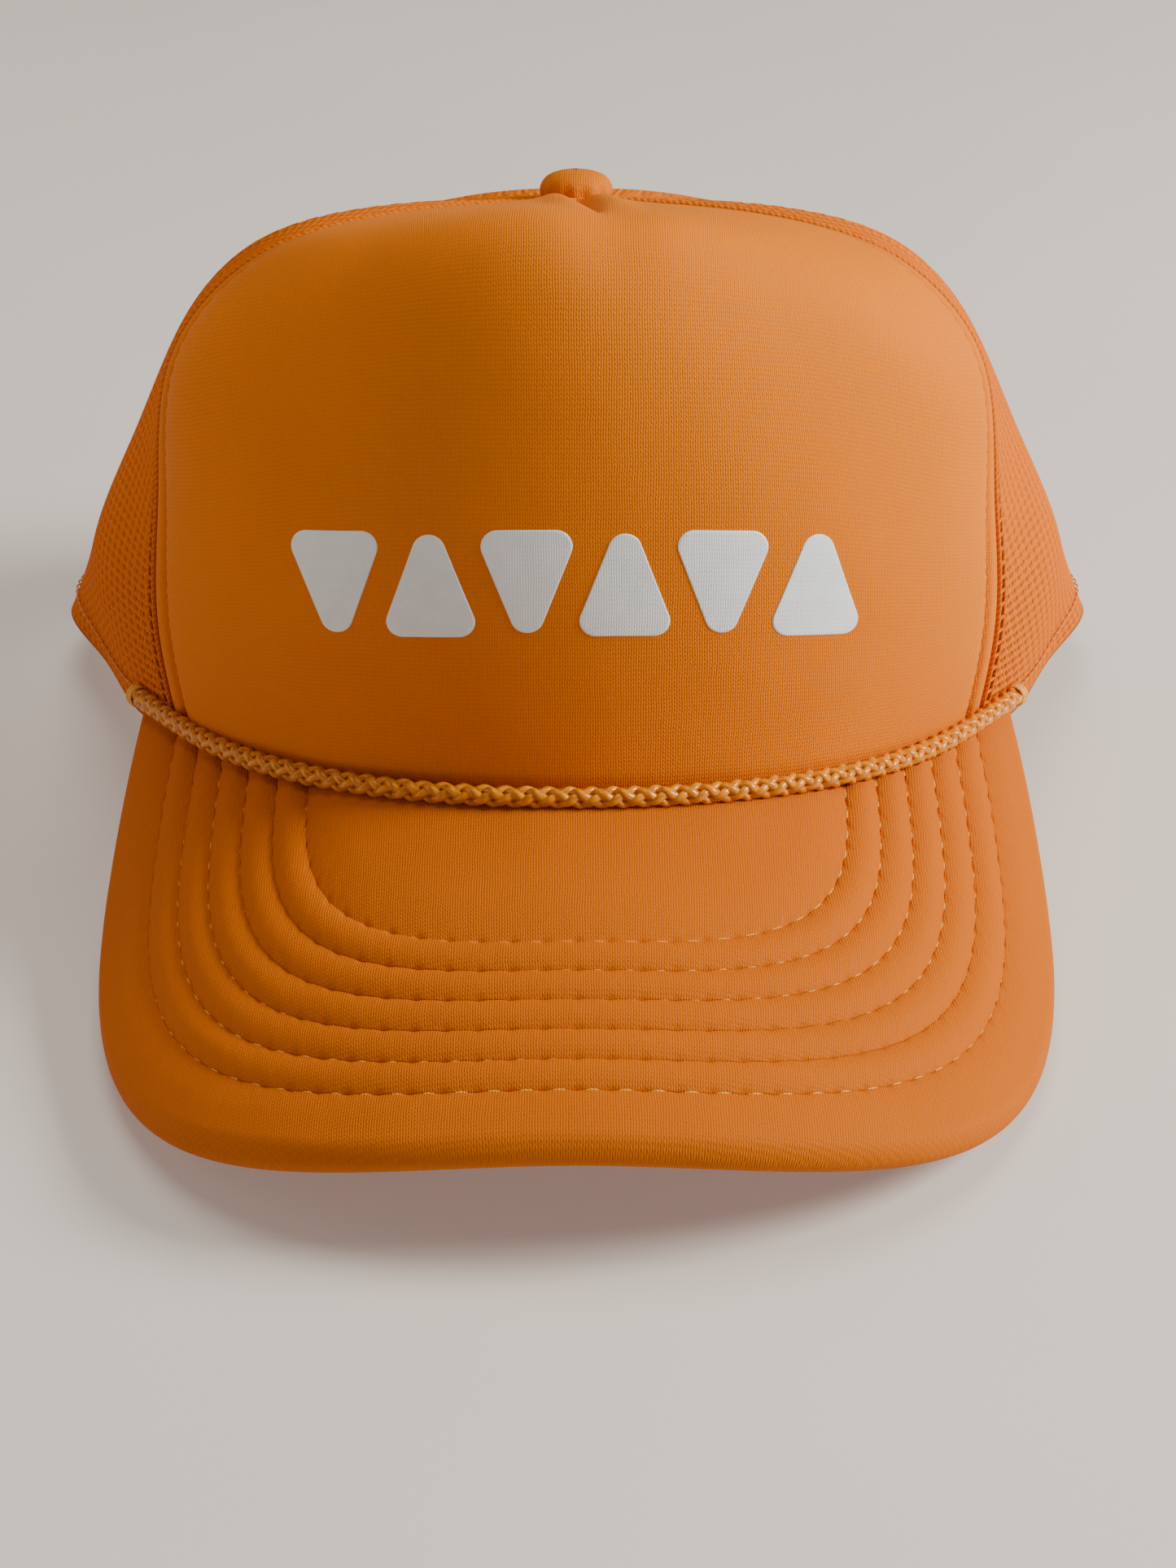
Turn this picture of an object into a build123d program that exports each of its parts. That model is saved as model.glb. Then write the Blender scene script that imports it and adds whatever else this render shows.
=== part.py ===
from build123d import *
from math import cos, degrees, radians, sin, sqrt
import os
import numpy as np

# A five-panel trucker cap, resting on its brim and its back edge.
# Millimetres; +Z up, the brim points to -Y, the wearer's left is +X.

# ---------------------------------------------------------------- driving sizes
SEAM_Y = -44.3              # middle of the brim seam
SEAM_Z = 40.26

FABRIC = 0.6                # polyester face, mesh and brim covers
FOAM = 3.0                  # foam behind the front panel
FOAM_EDGE = 0.7             # the same foam, crushed in its seams
SEAM_GAP = 0.2              # half of the gap between two panels
PANEL_TOP = 0.955           # how far up a rib the panels reach; the button covers the rest

BRIM_PITCH = 12.0           # degrees below level
BRIM_RADIUS = 133.0         # radius of the bend, at the top face
BRIM_HALF_WIDTH = 92.2      # along the bend
BRIM_REACH = 87.8           # widest point to tip
BRIM_WIDEST = 6.6           # the widest point lies this far behind the seam
BRIM_CORNER = 2.74          # exponent of the rounded outline
BRIM_TAPER = 2.8            # the sides draw in by this much at the brim's rear corners
BRIM_FOAM = 1.4
BOARD = 2.0
BRIM_STACK = FABRIC + BRIM_FOAM + BOARD + FABRIC

ROW_COUNT = 6               # stitch rows round the brim
ROW_PITCH = 6.35
ROW_EDGE = 12.0             # outermost row to the brim's edge
THREAD = 0.4

ROPE_D = 4.0
TACK_LENGTH = 2.2           # thread wound round each end of the rope

BUTTON_D = 13.0
BUTTON_H = 4.6
BUTTON_TILT = 14.0          # degrees, leaning to the back
RIVET_D = 3.0

SWEATBAND_T = 1.0
SWEATBAND_TOP = 0.15        # how far up a rib the sweatband reaches
TAPE_HALF = 5.0
TAPE_T = 0.5

PRINT_COUNT = 6             # plain marks across the front
PRINT_PITCH = 16.2
PRINT_W = 18.0
PRINT_H = 19.0
PRINT_CORNER = 2.8
PRINT_Z = 80.0
PRINT_DROOP = 330.0         # the band sinks by x * x / PRINT_DROOP towards its ends

ARCH_HALF = 45.0            # rear opening
ARCH_TOP = 58.0             # its highest point above the table
BINDING_W = 7.0
BINDING_T = 0.8

STRAP_H = 19.0
STRAP_T = 1.2
STRAP_R = 225.0
STRAP_LEAN = 13.0           # the back wall leans inwards
STRAP_Y = 121.7             # outer face of the outer strap, at the middle of the back
STRAP_Z = 2.4
STRAP_GAP = 0.35            # between the two straps where they overlap
TAB_LENGTH = 12.0           # the sewn end of each strap
STRAP_HINGE_X = 43.0
STRAP_TIP_X = 21.0          # each strap runs this far past the middle
PEG_COUNT = 7
PEG_PITCH = 6.0
PEG_D = 3.0
PEG_H = 2.8
HOLE_D = 4.0

# Ribs of the right-hand half of the crown, from its lower edge up, each as
# (out, back, up) from the middle of the brim seam. They all end at the button.
APEX = (0, 78, 76)
RIBS = [
    # middle of the front panel
    [(0, -3, -5), (0, -1.5, 27), (0, 2, 58), (0, 9, 82), (0, 20, 94), (0, 35, 91.5), (0, 56, 84)],
    # quarter of the front panel
    [(42, 9.8, -9), (43, 9, 22), (42.5, 13, 52), (40, 21, 74.5), (35, 30, 85), (28, 43, 86), (15, 60, 81.5)],
    # seam of the front panel
    [(74.5, 45.5, -18.3), (77, 43.5, 9), (75.3, 47, 33), (72, 52, 56), (60, 58, 70.5), (45.5, 62, 76.5),
     (25.5, 70, 77.5)],
    # over the brim's rear corner
    [(84.8, 61.8, -22), (86, 61, 6), (80.5, 66, 31), (72, 70, 53.5), (59, 73, 68), (43, 75.5, 74),
     (23, 77.5, 76)],
    # half way to the widest point
    [(95.1, 87.2, -24.8), (94.4, 84, 2.2), (84.5, 84, 27.4), (73.7, 83, 50.4), (60, 81.5, 66.2), (42.3, 81.7, 72.6),
     (21.8, 80.6, 75.1)],
    # widest point of the side
    [(105.5, 112.5, -27.5), (95, 108, -1.5), (83.5, 101, 23.5), (73, 94, 46.5), (58.5, 88, 63), (41, 83.5, 71),
     (21, 80.5, 74.5)],
    # seam between side and back
    [(98, 138, -33.3), (87, 131, -4), (76, 122, 22.5), (64, 112, 44), (49.5, 102, 59), (34, 92, 68.5),
     (17, 84, 73.5)],
    # middle of the back panel
    [(70, 156, -37.4), (63, 149, -5.5), (54, 140, 22), (44.5, 127, 44), (33, 113, 59.5), (21.5, 98, 69),
     (11, 87, 73.5)],
    # seam at the middle of the back
    [(0, 168, -39.8), (0, 161, -5.5), (0, 150, 22.5), (0, 135, 44.5), (0, 117, 60.5), (0, 101, 69.5),
     (0, 89, 73.5)],
]


RISING = (Align.CENTER, Align.CENTER, Align.MIN)


# ---------------------------------------------------------------- the crown's surface
def spline_slopes(knots, values, closed):
    """Second derivatives of the cubic spline through values at knots."""
    count = len(knots)
    step = np.diff(knots)
    rise = np.diff(values, axis=0) / step[:, None]
    matrix = np.eye(count)
    right = np.zeros_like(values)
    for i in range(1, count - 1):
        matrix[i, i - 1 : i + 2] = step[i - 1], 2 * (step[i - 1] + step[i]), step[i]
        right[i] = 6 * (rise[i] - rise[i - 1])
    if closed:
        matrix[0, :] = 0
        matrix[0, [0, 1, -2]] = 2 * (step[0] + step[-1]), step[0], step[-1]
        right[0] = 6 * (rise[0] - rise[-1])
        matrix[-1, 0] = -1
    return np.linalg.solve(matrix, right)


def spline(knots, values, at, closed=False):
    """The cubic spline through values at knots, read at the places in at."""
    shape = values.shape[1:]
    flat = values.reshape(len(knots), -1)
    bend = spline_slopes(knots, flat, closed)
    i = np.clip(np.searchsorted(knots, at, side="right") - 1, 0, len(knots) - 2)
    width = (knots[i + 1] - knots[i])[:, None]
    b = (at - knots[i])[:, None] / width
    a = 1 - b
    line = a * flat[i] + b * flat[i + 1]
    curve = ((a**3 - a) * bend[i] + (b**3 - b) * bend[i + 1]) * width**2 / 6
    return (line + curve).reshape((len(at),) + shape)


def rib_grid():
    """All ribs once round the crown, and how far round the base each one stands."""
    half = np.array([rib + [APEX] for rib in RIBS], float)
    mirrored = half[-2:0:-1] * [-1, 1, 1]
    ribs = np.concatenate([half, mirrored, half[:1]]) + [0, SEAM_Y, SEAM_Z]
    steps = np.linalg.norm(np.diff(ribs[:, 0], axis=0), axis=1)
    knots = np.concatenate([[0], np.cumsum(steps)])
    return ribs, knots / knots[-1]


CROWN_RIBS, ROUND = rib_grid()
UP = np.linspace(0, 1, CROWN_RIBS.shape[1])
FRONT_SEAM = ROUND[2]
WIDEST = ROUND[5]
SIDE_SEAM = ROUND[6]
BACK_SEAM = 0.5


def crown(around, up):
    """The crown's outer face: around is 0 at the front and 0.5 at the back, up is 1 at the button."""
    levels = spline(UP, CROWN_RIBS.transpose(1, 0, 2), np.array([up]))[0]
    return spline(ROUND, levels, np.array([around % 1.0]), closed=True)[0]


def along(around, up, step=1e-3):
    """Millimetres of surface for one whole turn of around, at this place."""
    return np.linalg.norm(crown(around + step, up) - crown(around - step, up)) / (2 * step)


def inwards(around, up, depth, step=1e-3):
    """The place depth below the crown's outer face."""
    low, high = max(up - step, 0), min(up + step, 1)
    side = crown(around + step, up) - crown(around - step, up)
    rise = crown(around, high) - crown(around, low)
    normal = np.cross(side, rise)
    return crown(around, up) - depth * normal / np.linalg.norm(normal)


def nearest(edge, edges):
    """The one of edges that runs beside edge."""
    return min(edges, key=lambda other: (other @ 0.5 - edge @ 0.5).length)


def closed_shell(outer, inner):
    """A solid between two faces of the same outline."""
    sides = [Face.make_surface_from_curves(edge, nearest(edge, inner.edges())) for edge in outer.edges()]
    return Solid(Shell([outer, inner] + sides))


def panel(start, end, bottom, top, outer, inner, columns=25, rows=21):
    """A piece of the crown's wall from depth outer to depth inner.

    start and end are places round the crown and may be functions of up; so may the depths,
    which then take (around, up).
    """
    def value(thing, *place):
        return thing(*place) if callable(thing) else thing

    def face(depth):
        grid = []
        for up in np.linspace(bottom, top, rows):
            first, last = value(start, up), value(end, up)
            places = np.linspace(first, last, columns)
            grid.append([tuple(inwards(a, up, value(depth, a, up))) for a in places])
        return Face.make_surface_from_array_of_points(grid, tol=0.01, min_deg=3, max_deg=3)

    return closed_shell(face(outer), face(inner))


def beside(seam, distance):
    """A line round the crown that keeps its distance from a seam."""
    return lambda up: seam + distance / along(seam, up)


# ---------------------------------------------------------------- crown pieces
def foam_depth(around, up):
    """Depth of the foam's inner face: full in the middle, crushed towards the seams."""
    turn = (around + 0.5) % 1.0 - 0.5
    to_seam = (FRONT_SEAM - abs(turn)) * along(FRONT_SEAM, up)
    to_top = (1 - up) * 60
    fullness = min(1, max(0, to_seam / 9)) * min(1, max(0, (to_top - 2) / 9))
    return FABRIC + FOAM_EDGE + (FOAM - FOAM_EDGE) * fullness**0.5


def front_panel():
    left, right = beside(-FRONT_SEAM, SEAM_GAP), beside(FRONT_SEAM, -SEAM_GAP)
    face = panel(left, right, 0, PANEL_TOP, 0, FABRIC, 31, 25)
    foam = panel(left, right, 0, PANEL_TOP, FABRIC + 0.02, foam_depth, 31, 25)
    return face, foam


def arch_outline(grow):
    """Outline of the rear opening, seen from behind, larger all round by grow."""
    half, top = ARCH_HALF + grow, ARCH_TOP + grow
    shoulder = 24.0
    with BuildSketch(Plane.XZ) as sketch:
        with BuildLine():
            Polyline((-half, shoulder), (-half, -5), (half, -5), (half, shoulder))
            Spline((half, shoulder), (0, top), (-half, shoulder), tangents=((0, 1), (-1, 0), (0, -1)))
        make_face()
    return sketch.sketch


def arch_block(grow):
    """The rear opening as a block through the back wall."""
    return extrude(Pos(0, 150, 0) * arch_outline(grow), 110, dir=(0, -1, 0))


def mesh_panels():
    side = panel(beside(FRONT_SEAM, SEAM_GAP), beside(SIDE_SEAM, -SEAM_GAP), 0, PANEL_TOP, 0, FABRIC)
    back = panel(beside(SIDE_SEAM, SEAM_GAP), beside(BACK_SEAM, -SEAM_GAP), 0, PANEL_TOP, 0, FABRIC)
    back = largest(back - arch_block(BINDING_W + SEAM_GAP))
    return side, mirror(side, Plane.YZ), back, mirror(back, Plane.YZ)


def largest(shape):
    """The biggest solid of a cut."""
    return max(shape.solids(), key=lambda solid: solid.volume)


def seam_tape(seam, bottom, top, depth):
    return panel(beside(seam, -TAPE_HALF), beside(seam, TAPE_HALF), bottom, top, depth, depth + TAPE_T, 7, 19)


def topstitching(seam, distance):
    """A row of thread standing on the front panel beside its seam."""
    half = THREAD / 2
    return panel(beside(seam, distance - half), beside(seam, distance + half), 0.06, 0.86, -0.3, -0.03, 3, 21)


def sweatband_depth(extra):
    """Depth of the sweatband: clear of the foam in front, closer to the mesh behind."""
    front, back = FABRIC + FOAM + 0.4, 3.0
    def depth(around, up):
        turn = abs((around + 0.5) % 1.0 - 0.5)
        share = min(1, max(0, (turn - FRONT_SEAM) / 0.06))
        return front + (back - front) * share * share * (3 - 2 * share) + extra
    return depth


def sweatband():
    """The band from one side of the rear opening to the other, and its cloth backing."""
    end = BACK_SEAM - (ARCH_HALF + TAB_LENGTH + 4) / along(BACK_SEAM, 0)
    band = panel(-end, end, 0.005, SWEATBAND_TOP, sweatband_depth(0.45), sweatband_depth(0.45 + SWEATBAND_T), 61, 7)
    backing = panel(-end, end, 0.005, SWEATBAND_TOP * 0.9, sweatband_depth(0), sweatband_depth(0.4), 61, 7)
    return band, backing


def arch_binding():
    """Tape folded over the mesh at the edge of the rear opening, as one thickness."""
    half = (ARCH_HALF + BINDING_W + 8) / along(BACK_SEAM, 0)
    strip = panel(BACK_SEAM - half, BACK_SEAM + half, 0, 0.5, -BINDING_T, FABRIC + BINDING_T, 25, 25)
    return largest(strip & (arch_block(BINDING_W) - arch_block(0)))


def button():
    """Cloth-covered button on the crown's top, with the rivet that holds it."""
    apex = Vector(*(np.array(APEX) + [0, SEAM_Y, SEAM_Z]))
    lean = Vector(0, sin(radians(BUTTON_TILT)), cos(radians(BUTTON_TILT)))
    seat = Plane(origin=apex + lean * 1.1, x_dir=(1, 0, 0), z_dir=lean)

    def dome(radius, height, base):
        profile = make_face(
            Polyline((0, base), (radius, base), (radius, base + 0.8))
            + Spline((radius, base + 0.8), (radius * 0.7, height * 0.8), (0, height), tangents=((0, 1), (-1, 0)))
            + Line((0, height), (0, base))
        )
        return revolve(Plane.XZ * profile, Axis.Z)

    radius = BUTTON_D / 2
    cloth = dome(radius, BUTTON_H, 0) - dome(radius - FABRIC, BUTTON_H - FABRIC, -0.01)
    shell = dome(radius - FABRIC - 0.05, BUTTON_H - FABRIC - 0.05, 0.05)
    shell -= dome(radius - FABRIC - 0.9, BUTTON_H - FABRIC - 0.9, 0.03)
    rivet = Pos(0, 0, -4.5) * Cylinder(RIVET_D / 2, 6.6, align=RISING)
    rivet += Pos(0, 0, 1.2) * Cylinder(BUTTON_D / 2 - 3.2, 0.8, align=RISING)
    washer = Cylinder(6, 0.6) - Cylinder(RIVET_D / 2 + 0.05, 2)
    return seat * cloth, seat * shell, seat * rivet, seat * Pos(0, 0, -3.9) * washer


# ---------------------------------------------------------------- brim
def brim_plane():
    pitch = radians(BRIM_PITCH)
    return Plane(origin=(0, SEAM_Y, SEAM_Z), x_dir=(1, 0, 0), z_dir=(0, -sin(pitch), cos(pitch)))


def bend_x(u):
    """Place across the brim of a point u along its bend."""
    return BRIM_RADIUS * sin(u / BRIM_RADIUS)


def on_brim(x, forward, lift):
    """The place at height lift over the bent brim, x across and forward of the seam on its flat pattern."""
    pitch = radians(BRIM_PITCH)
    tilt = x / BRIM_RADIUS
    level = sqrt(1 - tilt * tilt)
    rise = lift * level - BRIM_RADIUS * (1 - level)
    y = SEAM_Y - forward * cos(pitch) - rise * sin(pitch)
    z = SEAM_Z - forward * sin(pitch) + rise * cos(pitch)
    return np.array([x + lift * tilt, y, z])


def brim_edge(inset, rear):
    """The brim's edge on its flat pattern, drawn in by inset, as (across, forward); rear is how far it runs back."""
    half, reach = BRIM_HALF_WIDTH - inset, BRIM_REACH - inset
    edge = []
    for back in np.linspace(rear, BRIM_WIDEST, 9)[:-1]:
        taper = BRIM_TAPER * ((back - BRIM_WIDEST) / 45) ** 2
        edge.append((half - taper, -back))
    for step in range(41):
        turn = radians(180 * step / 40)
        across = half * np.sign(cos(turn)) * abs(cos(turn)) ** (2 / BRIM_CORNER)
        edge.append((across, reach * sin(turn) ** (2 / BRIM_CORNER) - BRIM_WIDEST))
    return edge + [(-across, forward) for across, forward in reversed(edge[:8])]


def brim_outline(inset):
    """The same edge seen square on to the bent brim, closed under the crown."""
    edge = [(bend_x(across), -forward) for across, forward in brim_edge(inset, 70)]
    return make_face(Spline(edge) + Line(edge[-1], edge[0]))


def brim_layer(upper, lower):
    """All points of the bent brim between two depths below its top face."""
    tube = Cylinder(BRIM_RADIUS - upper, 260) - Cylinder(BRIM_RADIUS - lower, 260)
    return Pos(0, 0, -BRIM_RADIUS) * Rot(90, 0, 0) * tube


def crown_plug(gap):
    """Upright block that fills the crown, so that the brim ends at the crown's wall."""
    base = [inwards(around, 0, -gap) for around in np.linspace(-WIDEST, WIDEST, 29)]
    wall = Spline([(x, y, 0) for x, y, z in base])
    back = Polyline(wall @ 1, ((wall @ 1).X, 110, 0), ((wall @ 0).X, 110, 0), wall @ 0)
    return extrude(make_face(wall + back), 90)


def brim_piece(inset, upper, lower, outer_gap=0.5):
    prism = extrude(brim_outline(inset), 60, both=True)
    return brim_plane() * (prism & brim_layer(upper, lower)) - crown_plug(outer_gap)


def visor():
    gap = 0.03
    foam_top = FABRIC + gap
    board_top = foam_top + BRIM_FOAM + gap
    under_top = board_top + BOARD + gap
    cover = brim_piece(0, 0, under_top - gap) - brim_piece(FABRIC + gap, FABRIC, under_top + 1, 0)
    foam = brim_piece(FABRIC + 2 * gap, foam_top, foam_top + BRIM_FOAM)
    board = brim_piece(FABRIC + 2 * gap, board_top, board_top + BOARD)
    under = brim_piece(0.2, under_top, under_top + FABRIC)
    return [largest(piece) for piece in (cover, foam, board, under)]


def stitch_row(number):
    """One row of thread on the brim: the needle thread on top and the bobbin thread below."""
    inset = ROW_EDGE + (ROW_COUNT - number) * ROW_PITCH
    edges = [brim_edge(inset + side, 60) for side in (0, THREAD / 2, THREAD)]

    def face(lift):
        grid = [[tuple(on_brim(bend_x(u), v, lift)) for u, v in edge] for edge in edges]
        return Face.make_surface_from_array_of_points(grid, tol=0.01, min_deg=3, max_deg=3)

    threads = [closed_shell(face(0.3), face(0.02)), closed_shell(face(-BRIM_STACK - 0.14), face(-BRIM_STACK - 0.4))]
    return Compound(children=[largest(thread - crown_plug(1.5)) for thread in threads])


# ---------------------------------------------------------------- rope
# Half of the rope's route, from the middle to the brim's rear corner: how far across, and how far
# forward of the seam on the brim's flat pattern. Its height follows the brim.
ROPE_HALF = [(11, 5.9), (32, 0.4), (51, -10.4), (65, -23.5), (75.7, -38.2), (84.2, -52)]
ROPE_LIFT = ROPE_D / 2 + 0.9


def rope_route():
    right = [on_brim(x, forward, ROPE_LIFT) for x, forward in ROPE_HALF]
    return [point * [-1, 1, 1] for point in reversed(right)] + right


def fillet_radii(points):
    """The largest smooth bend at each inner point of a route."""
    radii = []
    for before, here, after in zip(points, points[1:], points[2:]):
        first, second = Vector(*(here - before)), Vector(*(after - here))
        turn = radians(first.get_angle(second))
        radii.append(0.45 * min(first.length, second.length) / np.tan(turn / 2))
    return radii


def rope():
    route = rope_route()
    radii = fillet_radii(route)
    print("rope radii", [round(float(radius)) for radius in radii])
    path = FilletPolyline([tuple(point) for point in route], radius=radii)
    section = Plane(origin=path @ 0, z_dir=path % 0) * Circle(ROPE_D / 2)
    tube = sweep(section, path=path)
    print("rope length", round(path.length, 1), "volume ratio", round(tube.volume / section.area / path.length, 3))
    end = Plane(origin=path @ 1 + (path % 1) * 0.05, z_dir=path % 1)
    tack = end * extrude(Circle(ROPE_D / 2), TACK_LENGTH)
    return tube, Compound(children=[tack, mirror(tack, Plane.YZ)])


# ---------------------------------------------------------------- front print
def front_print():
    """A band of plain rounded triangles, alternately point up and point down."""
    layer = panel(-FRONT_SEAM * 0.8, FRONT_SEAM * 0.8, 0.1, 0.5, -0.2, -0.04, 31, 15)
    marks = []
    for number in range(PRINT_COUNT):
        centre = (number - (PRINT_COUNT - 1) / 2) * PRINT_PITCH
        flip = 1 if number % 2 else -1
        half, tall = PRINT_W / 2, PRINT_H / 2
        corners = [(-half, -tall * flip), (half, -tall * flip), (0, tall * flip)]
        places = [(centre + x, PRINT_Z + z - (centre + x) ** 2 / PRINT_DROOP) for x, z in corners]
        shape = fillet(make_face(Polyline(places, close=True)).vertices(), PRINT_CORNER)
        block = extrude(Plane.XZ * shape, 90)
        marks += (layer & block).solids()
    return Compound(children=marks)


# ---------------------------------------------------------------- snap closure
def strap_plane():
    """Frame of the closure: leans with the back wall, x along the strap, y to the back."""
    lean = radians(STRAP_LEAN)
    return Plane(origin=(0, STRAP_Y, STRAP_Z), x_dir=(1, 0, 0), z_dir=(0, -sin(lean), cos(lean)))


def strap_band(depth, first, last, height=STRAP_H):
    """A curved strip at this depth from the strap's outer face, from x first to x last."""
    tube = Cylinder(STRAP_R - depth, height) - Cylinder(STRAP_R - depth - STRAP_T, height)
    strip = Pos(0, -STRAP_R, height / 2) * tube
    window = Pos((first + last) / 2, 0, height / 2) * Box(last - first, 60, height + 2)
    return strip & window


def peg_places():
    """Frames at the pegs, with z pointing outwards from the middle of the strap's bend."""
    for number in range(PEG_COUNT):
        x = (number - (PEG_COUNT - 1) / 2) * PEG_PITCH
        yield Pos(0, -STRAP_R, STRAP_H / 2) * Rot(0, 0, -degrees(x / STRAP_R)) * Rot(-90, 0, 0)


def rounded_tip(strap, side):
    """The strap with its free end rounded; side is the sign of the end's x."""
    corners = strap.edges().filter_by(lambda edge: abs(edge.length - STRAP_T) < 0.3 and edge.center().X * side > 0)
    return fillet(corners, STRAP_H / 2 - 0.5)


def snap_closure():
    """Two straps that meet in the middle of the back, and their sewn ends."""
    under = STRAP_T + STRAP_GAP
    holed = rounded_tip(strap_band(0, -STRAP_HINGE_X, STRAP_TIP_X), 1)
    pegged = rounded_tip(strap_band(under, -STRAP_TIP_X, STRAP_HINGE_X), -1)
    for place in peg_places():
        hole = Pos(0, 0, STRAP_R) * Cylinder(HOLE_D / 2, 8)
        peg = Pos(0, 0, STRAP_R - under - 0.2) * Cylinder(PEG_D / 2, PEG_H, align=RISING)
        holed -= place * hole
        pegged += place * peg
    holed_tab = strap_band(0, -STRAP_HINGE_X - TAB_LENGTH, -STRAP_HINGE_X - 0.3)
    pegged_tab = strap_band(under, STRAP_HINGE_X + 0.3, STRAP_HINGE_X + TAB_LENGTH)
    return [strap_plane() * piece for piece in (holed, pegged, holed_tab, pegged_tab)]


# ---------------------------------------------------------------- writing the nodes
def main():
    nodes = {}
    nodes["front_panel_face"], nodes["front_panel_foam"] = front_panel()
    sides = mesh_panels()
    nodes["mesh_side_left"], nodes["mesh_side_right"] = sides[0], sides[1]
    nodes["mesh_back_left"], nodes["mesh_back_right"] = sides[2], sides[3]
    nodes["arch_binding"] = arch_binding()
    nodes["seam_tape_front_left"] = seam_tape(FRONT_SEAM, 0.17, 0.85, 3.3)
    nodes["seam_tape_front_right"] = mirror(nodes["seam_tape_front_left"], Plane.YZ)
    nodes["seam_tape_side_left"] = seam_tape(SIDE_SEAM, 0.17, 0.85, FABRIC + 0.6)
    nodes["seam_tape_side_right"] = mirror(nodes["seam_tape_side_left"], Plane.YZ)
    nodes["seam_tape_back"] = seam_tape(BACK_SEAM, 0.32, 0.85, FABRIC + 0.5)
    nodes["sweatband"], nodes["sweatband_backing"] = sweatband()
    nodes["topstitching_left"] = topstitching(FRONT_SEAM, -5.2)
    nodes["topstitching_right"] = mirror(nodes["topstitching_left"], Plane.YZ)
    button_parts = button()
    nodes["button_cover"], nodes["button_shell"], nodes["button_rivet"], nodes["button_washer"] = button_parts
    visor_parts = visor()
    nodes["visor_top_cover"], nodes["visor_foam"], nodes["visor_board"], nodes["visor_under_cover"] = visor_parts
    for number in range(1, ROW_COUNT + 1):
        nodes[f"visor_stitch_row_{number}"] = stitch_row(number)
    nodes["rope"], nodes["rope_end_tacks"] = rope()
    nodes["front_print"] = front_print()
    straps = snap_closure()
    nodes["strap_holes"], nodes["strap_pegs"] = straps[0], straps[1]
    nodes["strap_holes_tab"], nodes["strap_pegs_tab"] = straps[2], straps[3]

    os.makedirs("parts", exist_ok=True)
    for name, shape in nodes.items():
        export_step(shape, f"parts/{name}.step")


main()
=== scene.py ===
"""Looks of a foam-front trucker cap: cloth, foam, netting, rope, stitching and snap closure.

Metres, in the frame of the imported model: +Z up, the brim points to -Y.
"""

import math

import bpy
import numpy as np
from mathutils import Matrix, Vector, noise


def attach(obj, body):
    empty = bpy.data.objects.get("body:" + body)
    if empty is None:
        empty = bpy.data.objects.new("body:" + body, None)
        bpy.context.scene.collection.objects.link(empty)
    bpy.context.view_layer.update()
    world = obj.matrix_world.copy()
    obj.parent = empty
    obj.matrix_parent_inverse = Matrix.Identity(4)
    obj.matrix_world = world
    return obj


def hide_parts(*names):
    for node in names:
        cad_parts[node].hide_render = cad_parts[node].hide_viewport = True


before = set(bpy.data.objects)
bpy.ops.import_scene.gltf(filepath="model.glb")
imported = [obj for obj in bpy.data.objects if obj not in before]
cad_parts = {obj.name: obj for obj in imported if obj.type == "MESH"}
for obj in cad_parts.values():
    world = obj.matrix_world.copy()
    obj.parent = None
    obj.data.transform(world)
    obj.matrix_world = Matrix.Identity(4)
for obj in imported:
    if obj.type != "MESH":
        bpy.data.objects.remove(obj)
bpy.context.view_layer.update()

MM = 0.001

# ---------------------------------------------------------------- sizes shared with the CAD part
SEAM = np.array([0, -44.3, 40.26]) * MM     # middle of the brim seam
PANEL_TOP = 0.955            # how far up a rib the panels reach; the button covers the rest
BRIM_PITCH = math.radians(12)
BRIM_RADIUS = 133 * MM       # radius of the bend, at the top face
BRIM_HALF_WIDTH = 92.2 * MM  # along the bend
BRIM_REACH = 87.8 * MM       # widest point to tip
BRIM_WIDEST = 6.6 * MM       # the widest point lies this far behind the seam
BRIM_CORNER = 2.74           # exponent of the rounded outline
BRIM_TAPER = 2.8 * MM        # the sides draw in by this much at the brim's rear corners
BRIM_STACK = 4.6 * MM
ROW_COUNT = 6                # stitch rows round the brim
ROW_PITCH = 6.35 * MM
ROW_EDGE = 12 * MM           # outermost row to the brim's edge
ROPE_D = 4 * MM
BUTTON_D = 13 * MM
BUTTON_H = 4.6 * MM
BUTTON_TILT = math.radians(14)
SWEATBAND_TOP = 0.15         # how far up a rib the sweatband reaches
HEM = 5.2 * MM               # topstitching to the seam beside it
PRINT_COUNT = 6
PRINT_PITCH = 16.2 * MM
PRINT_W = 18 * MM
PRINT_H = 19 * MM
PRINT_CORNER = 2.8 * MM
PRINT_Z = 80 * MM
PRINT_DROOP = 330 * MM       # the band sinks by x * x / PRINT_DROOP towards its ends
ARCH_HALF = 45 * MM          # half the width of the rear opening
ARCH_TOP = 58 * MM           # its highest point above the table
ARCH_SHOULDER = 24 * MM      # its sides are upright below this height
BINDING_W = 7 * MM
TAB_LENGTH = 12 * MM         # the sewn end of each strap

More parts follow.
